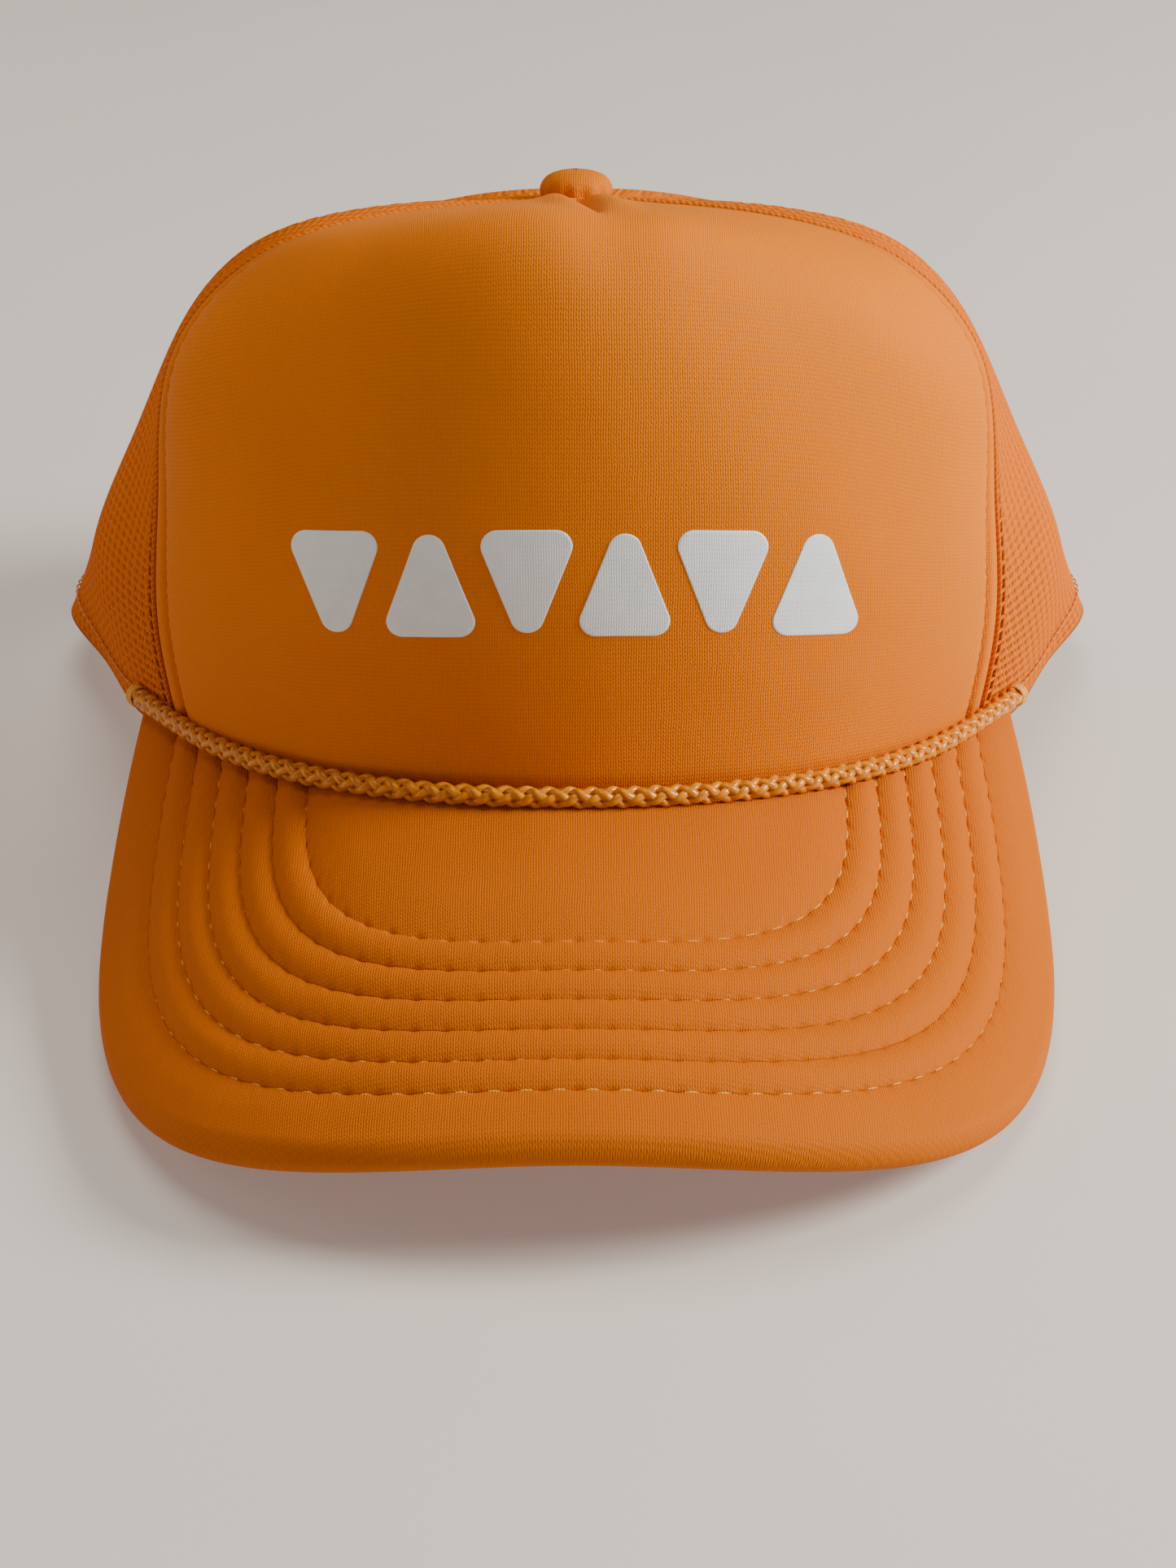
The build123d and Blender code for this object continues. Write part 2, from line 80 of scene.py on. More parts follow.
# Ribs of the left half of the crown, on +X, from its lower edge up, each as (out, back, up) in mm
# from the middle of the brim seam. They all end at the button.
APEX = (0, 78, 76)
RIBS = [
    # middle of the front panel
    [(0, -3, -5), (0, -1.5, 27), (0, 2, 58), (0, 9, 82), (0, 20, 94), (0, 35, 91.5), (0, 56, 84)],
    # quarter of the front panel
    [(42, 9.8, -9), (43, 9, 22), (42.5, 13, 52), (40, 21, 74.5), (35, 30, 85), (28, 43, 86), (15, 60, 81.5)],
    # seam of the front panel
    [(74.5, 45.5, -18.3), (77, 43.5, 9), (75.3, 47, 33), (72, 52, 56), (60, 58, 70.5), (45.5, 62, 76.5),
     (25.5, 70, 77.5)],
    # over the brim's rear corner
    [(84.8, 61.8, -22), (86, 61, 6), (80.5, 66, 31), (72, 70, 53.5), (59, 73, 68), (43, 75.5, 74),
     (23, 77.5, 76)],
    # half way to the widest point
    [(95.1, 87.2, -24.8), (94.4, 84, 2.2), (84.5, 84, 27.4), (73.7, 83, 50.4), (60, 81.5, 66.2),
     (42.3, 81.7, 72.6), (21.8, 80.6, 75.1)],
    # widest point of the side
    [(105.5, 112.5, -27.5), (95, 108, -1.5), (83.5, 101, 23.5), (73, 94, 46.5), (58.5, 88, 63),
     (41, 83.5, 71), (21, 80.5, 74.5)],
    # seam between side and back
    [(98, 138, -33.3), (87, 131, -4), (76, 122, 22.5), (64, 112, 44), (49.5, 102, 59), (34, 92, 68.5),
     (17, 84, 73.5)],
    # middle of the back panel
    [(70, 156, -37.4), (63, 149, -5.5), (54, 140, 22), (44.5, 127, 44), (33, 113, 59.5), (21.5, 98, 69),
     (11, 87, 73.5)],
    # seam at the middle of the back
    [(0, 168, -39.8), (0, 161, -5.5), (0, 150, 22.5), (0, 135, 44.5), (0, 117, 60.5), (0, 101, 69.5),
     (0, 89, 73.5)],
]

# The rope's route from its middle to one end, as (x, forward of the seam) in mm.
ROPE_HALF = [(11, 5.9), (32, 0.4), (51, -10.4), (65, -23.5), (75.7, -38.2), (84.2, -52)]
ROPE_LIFT = ROPE_D / 2 + 0.9 * MM

SIDES = (("left", 1), ("right", -1))


def add_object(name, data):
    obj = bpy.data.objects.new(name, data)
    bpy.context.scene.collection.objects.link(obj)
    return obj


def run_along(line):
    """How far along a line each of its points lies."""
    return np.concatenate([[0], np.cumsum(np.linalg.norm(np.diff(line, axis=0), axis=1))])


def points_at(at, run, line):
    """The points of a line that lie these distances along it."""
    return np.stack([np.interp(at, run, line[:, k]) for k in range(line.shape[1])], -1)


# ---------------------------------------------------------------- camera
def make_camera():
    """A long lens at eye height over a table, straight in front of the cap."""
    data = bpy.data.cameras.new("camera")
    data.lens = 70.99
    data.sensor_width = 36
    camera = add_object("camera", data)
    aim = Vector((0.0020, SEAM[1], SEAM[2]))
    azimuth, elevation = math.radians(-0.1), math.radians(32)
    back = Vector((
        math.sin(azimuth) * math.cos(elevation),
        -math.cos(azimuth) * math.cos(elevation),
        math.sin(elevation),
    ))
    camera.location = aim + back * 0.535
    camera.rotation_euler = (-back).to_track_quat("-Z", "Y").to_euler()
    bpy.context.scene.camera = camera


make_camera()


# ---------------------------------------------------------------- the crown's surface
def spline(knots, values, at, closed=False):
    """The cubic spline through values at knots, natural or closed, read at the places in at."""
    count = len(knots)
    step = np.diff(knots)
    rise = np.diff(values, axis=0) / step[:, None]
    matrix = np.eye(count)
    right = np.zeros_like(values)
    for i in range(1, count - 1):
        matrix[i, i - 1 : i + 2] = step[i - 1], 2 * (step[i - 1] + step[i]), step[i]
        right[i] = 6 * (rise[i] - rise[i - 1])
    if closed:
        matrix[0, :] = 0
        matrix[0, [0, 1, -2]] = 2 * (step[0] + step[-1]), step[0], step[-1]
        right[0] = 6 * (rise[0] - rise[-1])
        matrix[-1, 0] = -1
    bend = np.linalg.solve(matrix, right)
    i = np.clip(np.searchsorted(knots, at, side="right") - 1, 0, count - 2)
    width = step[i][:, None]
    b = (at - knots[i])[:, None] / width
    a = 1 - b
    curve = ((a**3 - a) * bend[i] + (b**3 - b) * bend[i + 1]) * width**2 / 6
    return a * values[i] + b * values[i + 1] + curve


def rib_grid():
    """All ribs once round the crown, and how far round the base each one stands."""
    half = np.array([rib + [APEX] for rib in RIBS], float) * MM
    mirrored = half[-2:0:-1] * [-1, 1, 1]
    ribs = np.concatenate([half, mirrored]) + SEAM
    ring = np.concatenate([ribs[:, 0], ribs[:1, 0]])
    knots = run_along(ring)
    return ribs, knots / knots[-1]


CROWN_RIBS, ROUND = rib_grid()
UP = np.linspace(0, 1, CROWN_RIBS.shape[1])
FRONT_SEAM = ROUND[2]
SIDE_SEAM = ROUND[6]
BACK_SEAM = 0.5


def crown(around, up):
    """Points of the crown's outer face: around is 0 at the front and 0.5 at the back, up is 1 at the top."""
    around, up = np.broadcast_arrays(around, up)
    shape = around.shape
    ring = np.eye(len(CROWN_RIBS))
    across = spline(ROUND, np.vstack([ring, ring[:1]]), around.ravel() % 1.0, closed=True)
    rising = spline(UP, np.eye(len(UP)), up.ravel())
    return np.einsum("ni,nj,ijk->nk", across, rising, CROWN_RIBS, optimize=True).reshape(shape + (3,))


def along(around, up, step=1e-3):
    """Metres of surface for one whole turn of around, at this place."""
    return np.linalg.norm(crown(around + step, up) - crown(around - step, up), axis=-1) / (2 * step)


def unit(vectors):
    return vectors / np.linalg.norm(vectors, axis=-1, keepdims=True)


def crown_normal(around, up, step=1e-3):
    low, high = np.maximum(up - step, 0), np.minimum(up + step, 0.995)
    side = crown(around + step, up) - crown(around - step, up)
    return unit(np.cross(side, crown(around, high) - crown(around, low)))


def on_crown(around, up, lift):
    """Points at height lift over the crown's outer face."""
    around, up, lift = np.broadcast_arrays(around, up, lift)
    return crown(around, up) + lift[..., None] * crown_normal(around, up)


def climb(around, low, high, count=200):
    """Rib places from low to high, and their distances up the surface from low."""
    ups = np.linspace(low, high, count)
    return ups, run_along(crown(np.full(count, around), ups))


def find_on_crown(x, z, around, up):
    """The place on the crown that stands at x and z, starting the search at (around, up)."""
    step = 1e-4
    for _ in range(8):
        here = crown(around, up)
        by_around = (crown(around + step, up) - here) / step
        by_up = (crown(around, up + step) - here) / step
        miss_x, miss_z = x - here[..., 0], z - here[..., 2]
        det = by_around[..., 0] * by_up[..., 2] - by_up[..., 0] * by_around[..., 2]
        around = around + (miss_x * by_up[..., 2] - miss_z * by_up[..., 0]) / det
        up = up + (miss_z * by_around[..., 0] - miss_x * by_around[..., 2]) / det
    return around, up


# ---------------------------------------------------------------- the brim's surface
def on_brim(u, forward, lift):
    """Points at height lift over the bent brim, from its flat pattern: u across, forward of the seam."""
    turn = u / BRIM_RADIUS
    tilt, level = np.sin(turn), np.cos(turn)
    rise = lift * level - BRIM_RADIUS * (1 - level)
    x = (BRIM_RADIUS + lift) * tilt
    y = SEAM[1] - forward * math.cos(BRIM_PITCH) - rise * math.sin(BRIM_PITCH)
    z = SEAM[2] - forward * math.sin(BRIM_PITCH) + rise * math.cos(BRIM_PITCH)
    return np.stack(np.broadcast_arrays(x, y, z), -1)


def brim_line(inset, rear, count):
    """A line round the brim at this inset from its edge, as count evenly spread (across, forward) points."""
    half, reach = BRIM_HALF_WIDTH - inset, BRIM_REACH - inset
    back = np.linspace(rear, BRIM_WIDEST, 30)[:-1]
    side = np.stack([half - BRIM_TAPER * ((back - BRIM_WIDEST) / (45 * MM)) ** 2, -back], -1)
    turn = np.linspace(0, np.pi, 400)
    power = 2 / BRIM_CORNER
    across = half * np.sign(np.cos(turn)) * np.abs(np.cos(turn)) ** power
    front = np.stack([across, reach * np.sin(turn) ** power - BRIM_WIDEST], -1)
    line = np.concatenate([side, front, side[::-1] * [-1, 1]])
    run = run_along(line)
    even = np.linspace(0, run[-1], count)
    return points_at(even, run, line), even


def inside_crown(points, margin):
    """Whether points lie inside the crown's lower edge, seen from above, by more than margin."""
    ring = crown(np.linspace(0, 1, 240, endpoint=False), 0.0)[:, :2]
    after = np.roll(ring, -1, axis=0)
    side = unit(after - ring)
    flat = points[:, :2]
    offset = flat[:, None] - ring[None]
    cross = side[None, :, 0] * offset[..., 1] - side[None, :, 1] * offset[..., 0]
    near = np.linalg.norm(offset, axis=-1).argmin(1)
    return cross[np.arange(len(flat)), near] > margin


# ---------------------------------------------------------------- mesh tools
def smooth(value, low, high):
    """0 below low, 1 above high, and a smooth step between."""
    t = np.clip((value - low) / (high - low), 0, 1)
    return t * t * (3 - 2 * t)


def bell(value, centre, width):
    return np.exp(-(((value - centre) / width) ** 2))


def unevenness(points, size, seed):
    """Soft noise from -1 to 1 whose lumps are about size across."""
    shift = Vector((seed, seed * 0.7, seed * 1.3))
    flat = points.reshape(-1, 3) / size
    values = [noise.noise(Vector(p) + shift) for p in flat]
    return np.array(values).reshape(points.shape[:-1])


def grid_quads(rows, columns, closed=False):
    index = np.arange(rows * columns).reshape(rows, columns)
    if closed:
        index = np.concatenate([index, index[:, :1]], axis=1)
    corners = [index[:-1, :-1], index[:-1, 1:], index[1:, 1:], index[1:, :-1]]
    return np.stack(corners, -1).reshape(-1, 4)


class Shape:
    """Points and faces of one piece, gathered from several parts."""

    def __init__(self):
        self.points, self.faces, self.uv, self.count = [], [], [], 0

    def add(self, points, faces, uv=None):
        points = np.asarray(points, float).reshape(-1, 3)
        self.faces += (np.asarray(faces) + self.count).tolist()
        self.points.append(points)
        self.uv.append(np.zeros((len(points), 2)) if uv is None else np.asarray(uv).reshape(-1, 2))
        self.count += len(points)

    def slab(self, outer, inner, uv=None):
        """A closed sheet between two grids of points."""
        rows, columns = outer.shape[:2]
        quads = grid_quads(rows, columns)
        size = rows * columns
        index = np.arange(size).reshape(rows, columns)
        rim = np.concatenate([index[0, :-1], index[:-1, -1], index[-1, :0:-1], index[:0:-1, 0]])
        after = np.roll(rim, -1)
        sides = np.stack([after, rim, rim + size, after + size], -1)
        points = np.concatenate([outer.reshape(-1, 3), inner.reshape(-1, 3)])
        faces = np.concatenate([quads, quads[:, ::-1] + size, sides])
        self.add(points, faces, None if uv is None else np.concatenate([uv.reshape(-1, 2)] * 2))

    def tube(self, path, radius, sides=6, outwards=None, flat=1.0):
        """A closed tube along a path; flat squeezes it towards outwards."""
        path = np.asarray(path, float)
        tangent = unit(np.gradient(path, axis=0))
        if outwards is None:
            outwards = np.eye(3)[np.abs(tangent).mean(0).argmin()]
        side = unit(np.cross(tangent, outwards))
        other = np.cross(side, tangent) * flat
        turn = np.arange(sides) * 2 * np.pi / sides
        radius = np.broadcast_to(radius, len(path))[:, None, None]
        ring = np.cos(turn)[None, :, None] * side[:, None] + np.sin(turn)[None, :, None] * other[:, None]
        run = run_along(path)
        uv = np.stack(np.broadcast_arrays(run[:, None], (turn / (2 * np.pi))[None]), -1)
        quads = grid_quads(len(path), sides, closed=True)[:, ::-1]
        last = (len(path) - 1) * sides
        caps = [list(range(sides)), list(range(last + sides - 1, last - 1, -1))]
        start = self.count
        self.add(path[:, None] + radius * ring, quads, uv)
        self.faces += [[start + i for i in cap] for cap in caps]

    def piece(self, name, material, slot, replaces=(), body="cap"):
        """The finished object: it rides on a body and stands for CAD nodes."""
        mesh = bpy.data.meshes.new(name)
        mesh.from_pydata(np.concatenate(self.points), [], self.faces)
        uv = np.concatenate(self.uv)
        corner = np.zeros(len(mesh.loops), np.int32)
        mesh.loops.foreach_get("vertex_index", corner)
        mesh.uv_layers.new(name="cloth").data.foreach_set("uv", uv[corner].astype(np.float32).ravel())
        mesh.polygons.foreach_set("use_smooth", np.ones(len(mesh.polygons), bool))
        mesh.materials.append(material)
        obj = add_object(name, mesh)
        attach(obj, body)
        if replaces:
            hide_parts(*replaces)
        return obj


THREAD_RADIUS = 0.2 * MM


def stitches(shape, line, outwards, pitch, length, arch, sink, radius=THREAD_RADIUS):
    """Single stitches along a line of points: each rises from one needle hole and dives into the next."""
    run = run_along(line)
    share = np.linspace(0, 1, 7)
    for start in np.arange(pitch / 2, run[-1] - pitch, pitch):
        at = start + share * length
        path = points_at(at, run, line)
        out = unit(points_at(at, run, outwards))
        rise = arch * np.sin(np.pi * share) - sink * np.abs(2 * share - 1) ** 6
        shape.tube(path + out * rise[:, None], radius * (1 - 0.35 * np.abs(2 * share - 1) ** 4), 6, out)


# ---------------------------------------------------------------- materials
class Surface:
    """A principled material and short ways to add nodes to it."""

    def __init__(self, name, roughness, sheen=0.0, specular=0.5):
        self.material = bpy.data.materials.new(name)
        self.material.use_nodes = True
        self.tree = self.material.node_tree
        self.shader = self.tree.nodes["Principled BSDF"]
        self.shader.inputs["Roughness"].default_value = roughness
        self.shader.inputs["Sheen Weight"].default_value = sheen
        self.shader.inputs["Sheen Roughness"].default_value = 0.4
        self.shader.inputs["Specular IOR Level"].default_value = specular

    def set(self, socket, value):
        if isinstance(value, bpy.types.NodeSocket):
            self.tree.links.new(value, socket)
        else:
            socket.default_value = value

    def math(self, operation, first, second=0.0, third=0.0):
        node = self.tree.nodes.new("ShaderNodeMath")
        node.operation = operation
        for socket, value in zip(node.inputs, (first, second, third)):
            self.set(socket, value)
        return node.outputs[0]

    def wave(self, turns):
        """The sine of this many whole turns."""
        return self.math("SINE", self.math("MULTIPLY", turns, 2 * math.pi))

    def cloth_place(self):
        """Across and along coordinates of the cloth, in metres."""
        uv = self.tree.nodes.new("ShaderNodeUVMap")
        uv.uv_map = "cloth"
        split = self.tree.nodes.new("ShaderNodeSeparateXYZ")
        self.set(split.inputs[0], uv.outputs[0])
        return split.outputs[0], split.outputs[1]

    def place(self):
        return self.tree.nodes.new("ShaderNodeTexCoord").outputs["Object"]

    def noise(self, size, detail=2.0, place=None):
        node = self.tree.nodes.new("ShaderNodeTexNoise")
        self.set(node.inputs["Vector"], place or self.place())
        node.inputs["Scale"].default_value = 1 / size
        node.inputs["Detail"].default_value = detail
        return node.outputs[0]

    def pores(self, size):
        node = self.tree.nodes.new("ShaderNodeTexVoronoi")
        self.set(node.inputs["Vector"], self.place())
        node.inputs["Scale"].default_value = 1 / size
        return node.outputs[0]

    def colours(self, factor, *stops):
        """A colour ramp over factor; each stop is (place, colour)."""
        node = self.tree.nodes.new("ShaderNodeValToRGB")
        self.set(node.inputs[0], factor)
        elements = node.color_ramp.elements
        while len(elements) < len(stops):
            elements.new(0.5)
        for element, (place, colour) in zip(elements, stops):
            element.position = place
            element.color = (*colour, 1)
        return node.outputs[0]

    def bump(self, height, distance, strength=1.0, below=None):
        node = self.tree.nodes.new("ShaderNodeBump")
        node.inputs["Strength"].default_value = strength
        node.inputs["Distance"].default_value = distance
        self.set(node.inputs["Height"], height)
        if below is not None:
            self.set(node.inputs["Normal"], below)
        return node.outputs[0]

    def finish(self, colour, normal=None, roughness=None):
        self.set(self.shader.inputs["Base Color"], colour)
        if normal is not None:
            self.set(self.shader.inputs["Normal"], normal)
        if roughness is not None:
            self.set(self.shader.inputs["Roughness"], roughness)
        return self.material


def shade(colour, amount):
    return tuple(channel * amount for channel in colour)


KNIT_WALE, KNIT_COURSE = 0.86 * MM, 0.80 * MM     # width and height of one loop


def knit_height(surface, wale, course):
    """Rows of small V loops, as on the face of jersey cloth."""
    u, v = surface.cloth_place()
    sway = surface.noise(6 * MM, 2)
    u = surface.math("MULTIPLY_ADD", sway, 0.7 * wale, u)
    v = surface.math("MULTIPLY_ADD", sway, 0.9 * course, v)
    place = surface.math("FRACT", surface.math("DIVIDE", u, wale))
    off = surface.math("ABSOLUTE", surface.math("SUBTRACT", place, 0.5))
    row = surface.math("MULTIPLY_ADD", off, 1.1, surface.math("DIVIDE", v, course))
    leg = surface.wave(row)
    leg = surface.math("MULTIPLY_ADD", leg, 0.34, 0.66)
    strand = surface.wave(off)
    return surface.math("MULTIPLY", leg, strand)


def knit_cloth(name, colour, wale=KNIT_WALE, course=KNIT_COURSE, sheen=0.04, roughness=0.62):
    """Smooth polyester knit: V loops, small changes of shade and a faint lustre."""
    surface = Surface(name, roughness, sheen, 0.1)
    surface.shader.inputs["Sheen Tint"].default_value = (1.0, 0.55, 0.08, 1)
    knit = knit_height(surface, wale, course)
    cloudy = surface.noise(28 * MM, 3)
    fuzz = surface.noise(0.5 * MM, 2)
    tone = surface.math("MULTIPLY_ADD", cloudy, 0.35, surface.math("MULTIPLY", knit, 0.5))
    tone = surface.math("MULTIPLY_ADD", fuzz, 0.25, tone)
    paint = surface.colours(tone, (0.15, shade(colour, 0.80)), (0.55, colour), (0.9, shade(colour, 1.10)))
    normal = surface.bump(fuzz, 0.08 * MM, 0.5)
    normal = surface.bump(knit, 0.12 * MM, 0.7, normal)
    rough = surface.math("MULTIPLY_ADD", cloudy, 0.12, roughness - 0.06)
    return surface.finish(paint, normal, rough)


def woven_tape(name, colour, pitch=0.7 * MM):
    """Plain-weave cotton tape: crossing ribs both ways."""
    surface = Surface(name, 0.8, 0.05, 0.2)
    u, v = surface.cloth_place()
    warp = surface.math("SINE", surface.math("MULTIPLY", u, 2 * math.pi / pitch))
    weft = surface.math("SINE", surface.math("MULTIPLY", v, 2 * math.pi / (pitch * 0.8)))
    weave = surface.math("MULTIPLY_ADD", surface.math("MULTIPLY", warp, weft), 0.5, 0.5)
    fuzz = surface.noise(0.35 * MM, 3)
    tone = surface.math("MULTIPLY_ADD", fuzz, 0.5, surface.math("MULTIPLY", weave, 0.5))
    paint = surface.colours(tone, (0.2, shade(colour, 0.7)), (0.6, colour), (0.95, shade(colour, 1.15)))
    normal = surface.bump(weave, 0.14 * MM, 0.8, surface.bump(fuzz, 0.08 * MM, 0.5))
    return surface.finish(paint, normal)


def twisted_thread(name, colour, lay=0.9 * MM, sheen=0.05, roughness=0.42, groove=0.10 * MM, shine=0.5):
    """Thread and cord: slanted plies along the strand, with a satin shine."""
    surface = Surface(name, roughness, sheen, shine)
    run, turn = surface.cloth_place()
    slant = surface.math("MULTIPLY_ADD", turn, 2.0, surface.math("DIVIDE", run, lay))
    ply = surface.wave(slant)
    ply = surface.math("MULTIPLY_ADD", ply, 0.5, 0.5)
    fine = surface.noise(0.22 * MM, 3)
    tone = surface.math("MULTIPLY_ADD", fine, 0.5, surface.math("MULTIPLY", ply, 0.5))
    paint = surface.colours(tone, (0.15, shade(colour, 0.68)), (0.5, colour), (0.9, shade(colour, 1.2)))
    normal = surface.bump(ply, groove, 0.7, surface.bump(fine, groove / 2, 0.6))
    return surface.finish(paint, normal)


def open_foam(name, colour):
    """Cut foam: small open pores."""
    surface = Surface(name, 0.95, 0.2, 0.2)
    pore = surface.pores(0.7 * MM)
    grain = surface.noise(0.4 * MM, 3)
    tone = surface.math("MULTIPLY_ADD", pore, 0.9, surface.math("MULTIPLY", grain, 0.3))
    paint = surface.colours(tone, (0.1, shade(colour, 0.55)), (0.5, colour), (0.95, shade(colour, 1.12)))
    return surface.finish(paint, surface.bump(pore, 0.25 * MM, 0.8))


def moulded_plastic(name, colour, roughness=0.38):
    """Injection-moulded plastic: a fine spark-eroded grain, rubbed smoother in places."""
    surface = Surface(name, roughness, 0.0, 0.5)
    grain = surface.noise(0.25 * MM, 3)
    worn = surface.noise(9 * MM, 4)
    paint = surface.colours(worn, (0.3, shade(colour, 0.92)), (0.6, colour), (0.8, shade(colour, 1.05)))
    rough = surface.math("MULTIPLY_ADD", worn, 0.25, roughness - 0.1)
    return surface.finish(paint, surface.bump(grain, 0.03 * MM, 0.5), rough)


def pressed_steel(name, colour):
    surface = Surface(name, 0.4)
    surface.shader.inputs["Metallic"].default_value = 0.9
    stain = surface.noise(3 * MM, 5)
    paint = surface.colours(stain, (0.3, shade(colour, 0.7)), (0.6, colour), (0.85, shade(colour, 1.15)))
    rough = surface.math("MULTIPLY_ADD", stain, 0.3, 0.28)
    return surface.finish(paint, surface.bump(surface.noise(0.5 * MM, 4), 0.03 * MM, 0.5), rough)


def ink_film(name, colour):
    """A printed film that takes on the knit below it."""
    surface = Surface(name, 0.5, 0.0, 0.4)
    knit = knit_height(surface, KNIT_WALE, KNIT_COURSE)
    cloudy = surface.noise(4 * MM, 4)
    paint = surface.colours(cloudy, (0.3, shade(colour, 0.94)), (0.6, colour), (0.9, shade(colour, 1.03)))
    return surface.finish(paint, surface.bump(knit, 0.07 * MM, 0.6))


ORANGE = (0.76, 0.195, 0.0)
FRONT_CLOTH = knit_cloth("front_cloth", ORANGE)
BRIM_CLOTH = knit_cloth("brim_cloth", (0.56, 0.128, 0.0), roughness=0.65)
BUTTON_CLOTH = knit_cloth("button_cloth", shade(ORANGE, 0.9))
NETTING = twisted_thread("netting", (0.68, 0.15, 0.0), 1.2 * MM, 0.0, 0.7, shine=0.1)
TAPE = woven_tape("tape", (0.62, 0.14, 0.004))
BAND_CLOTH = woven_tape("band_cloth", (0.58, 0.13, 0.004), 0.9 * MM)
THREAD = twisted_thread("thread", (0.90, 0.44, 0.06), 0.6 * MM)
SEAM_THREAD = twisted_thread("seam_thread", (0.72, 0.20, 0.01), 0.6 * MM)
ROPE_CORD = twisted_thread("rope_cord", (0.68, 0.225, 0.0), 3 * MM, 0.0, 0.25, 0.03 * MM)
FOAM = open_foam("foam", (0.76, 0.27, 0.03))
SNAP_PLASTIC = moulded_plastic("snap_plastic", (0.72, 0.17, 0.004))
BOARD_PLASTIC = moulded_plastic("board_plastic", (0.70, 0.68, 0.62), 0.5)
STEEL = pressed_steel("steel", (0.55, 0.53, 0.50))
INK = ink_film("ink", (0.86, 0.95, 1.0))


# ---------------------------------------------------------------- rope
def rope_line():
    """The rope's smooth line: a spline with the CAD route's points as its control points."""
    right = []
    for x, forward in ROPE_HALF:
        u = BRIM_RADIUS * math.asin(x * MM / (BRIM_RADIUS + ROPE_LIFT))
        right.append(on_brim(u, forward * MM, ROPE_LIFT))
    route = [point * [-1, 1, 1] for point in reversed(right)] + right
    curve = bpy.data.curves.new("rope_route", "CURVE")
    curve.dimensions = "3D"
    curve.resolution_u = 60
    line = curve.splines.new("NURBS")
    line.points.add(len(route) - 1)
    for point, place in zip(line.points, route):
        point.co = (*place, 1)
    line.order_u = 3
    line.use_endpoint_u = True
    holder = add_object("rope_route", curve)
    bpy.context.view_layer.update()
    mesh = bpy.data.meshes.new_from_object(holder)
    points = np.array([vertex.co for vertex in mesh.vertices])
    bpy.data.objects.remove(holder)
    return points


def evenly(line, step):
    """The same line with its points step apart."""
    run = run_along(line)
    at = np.linspace(0, run[-1], int(run[-1] / step) + 1)
    return points_at(at, run, line), at


def make_rope():
    """Six strands round a core, three each way, that pass over and under each other."""
    route = rope_line()
    line, run = evenly(route, 0.35 * MM)
    tangent = unit(np.gradient(line, axis=0))
    side = unit(np.cross(tangent, [0, 0, 1]))
    above = np.cross(side, tangent)
    lay = 11.1 * MM
    middle, weave, strand = 1.12 * MM, 0.22 * MM, 0.80 * MM
    shape = Shape()
    shape.tube(line[::6], 1.0 * MM, 8, above[::6])
    for way in (1, -1):
        for number in range(3):
            turn = way * 2 * np.pi * run / lay + number * 2 * np.pi / 3
            radius = middle + way * weave * np.cos(6 * np.pi * run / lay)
            out = np.cos(turn)[:, None] * side + np.sin(turn)[:, None] * above
            shape.tube(line + radius[:, None] * out, strand, 8, out, 0.8)
    rope = shape.piece("rope_braid", ROPE_CORD, "rope_cord", ["rope"])
    tacks = Shape()
    for end, ahead in ((0, 1), (-1, -1)):
        for loop in range(6):
            centre = line[end] + ahead * tangent[end] * (0.2 + 0.36 * loop) * MM
            turn = np.linspace(0, 2 * np.pi, 25)
            ring = np.cos(turn)[:, None] * side[end] + np.sin(turn)[:, None] * above[end]
            wobble = 1.97 * MM + 0.05 * MM * math.sin(2.1 * loop)
            tacks.tube(centre + wobble * ring, 0.22 * MM, 6, tangent[end])
    bound = tacks.piece("rope_end_binding", THREAD, "thread", ["rope_end_tacks"])


make_rope()


# ---------------------------------------------------------------- front panel
FRONT_TOP = 0.975            # the padded front runs on this far up, under the button
PANEL_GAP = 0.15 * MM        # from the padded front's edge to its seam
TOPSTITCH = 3.0 * MM         # one stitch to the next


def front_lift(to_seam, along_seam, above, below_top, across, points):
    """How far the padded front stands off the crown's plain surface."""
    to_seam, along_seam, above, below_top, across = (
        value / MM for value in (to_seam, along_seam, above, below_top, across)
    )
    hem, valley, pitch = HEM / MM, 0.8, TOPSTITCH / MM
    roll = 0.55 * np.sin(np.pi * np.clip(to_seam / hem, 0, 1)) ** 0.8
    pad = 1.15 * (1 - np.exp(-np.maximum(to_seam - hem, 0) / 2.4)) * (1 - 0.45 * smooth(to_seam, 10, 45))
    edge = -1.0 * bell(to_seam, 0, 0.55)
    stitch = 0.55 + 0.45 * np.cos(2 * np.pi * along_seam / pitch)
    pull = -0.75 * bell(to_seam, hem, valley) * (0.5 + stitch)
    pucker = 0.10 * bell(to_seam, hem + 2.2, 2.2) * np.cos(2 * np.pi * along_seam / pitch + 2.0)
    fold = smooth(below_top, -1, 1) * (1 - smooth(below_top, 20, 50))
    slant = across - 0.10 * below_top
    dart = -2.6 * fold * np.exp(-np.abs(slant) / 1.2) + 0.8 * fold * bell(np.abs(slant), 4.5, 3.2)
    dart = dart - 1.3 * bell(below_top, 50, 14) * bell(slant, 0, 8)
    tuck = -1.3 * bell(above, 0, 3.2)
    soft = 0.30 * unevenness(points, 34 * MM, 3.0) + 0.10 * unevenness(points, 11 * MM, 8.0)
    quiet = smooth(to_seam, 3, 12)
    return (roll + pad + edge + pull + pucker + dart + tuck + soft * quiet) * MM


def spread_columns(count):
    """Places from -1 to 1 that crowd towards both ends."""
    t = np.linspace(-1, 1, count)
    return np.sin(t * np.pi / 2) * 0.6 + t * 0.4


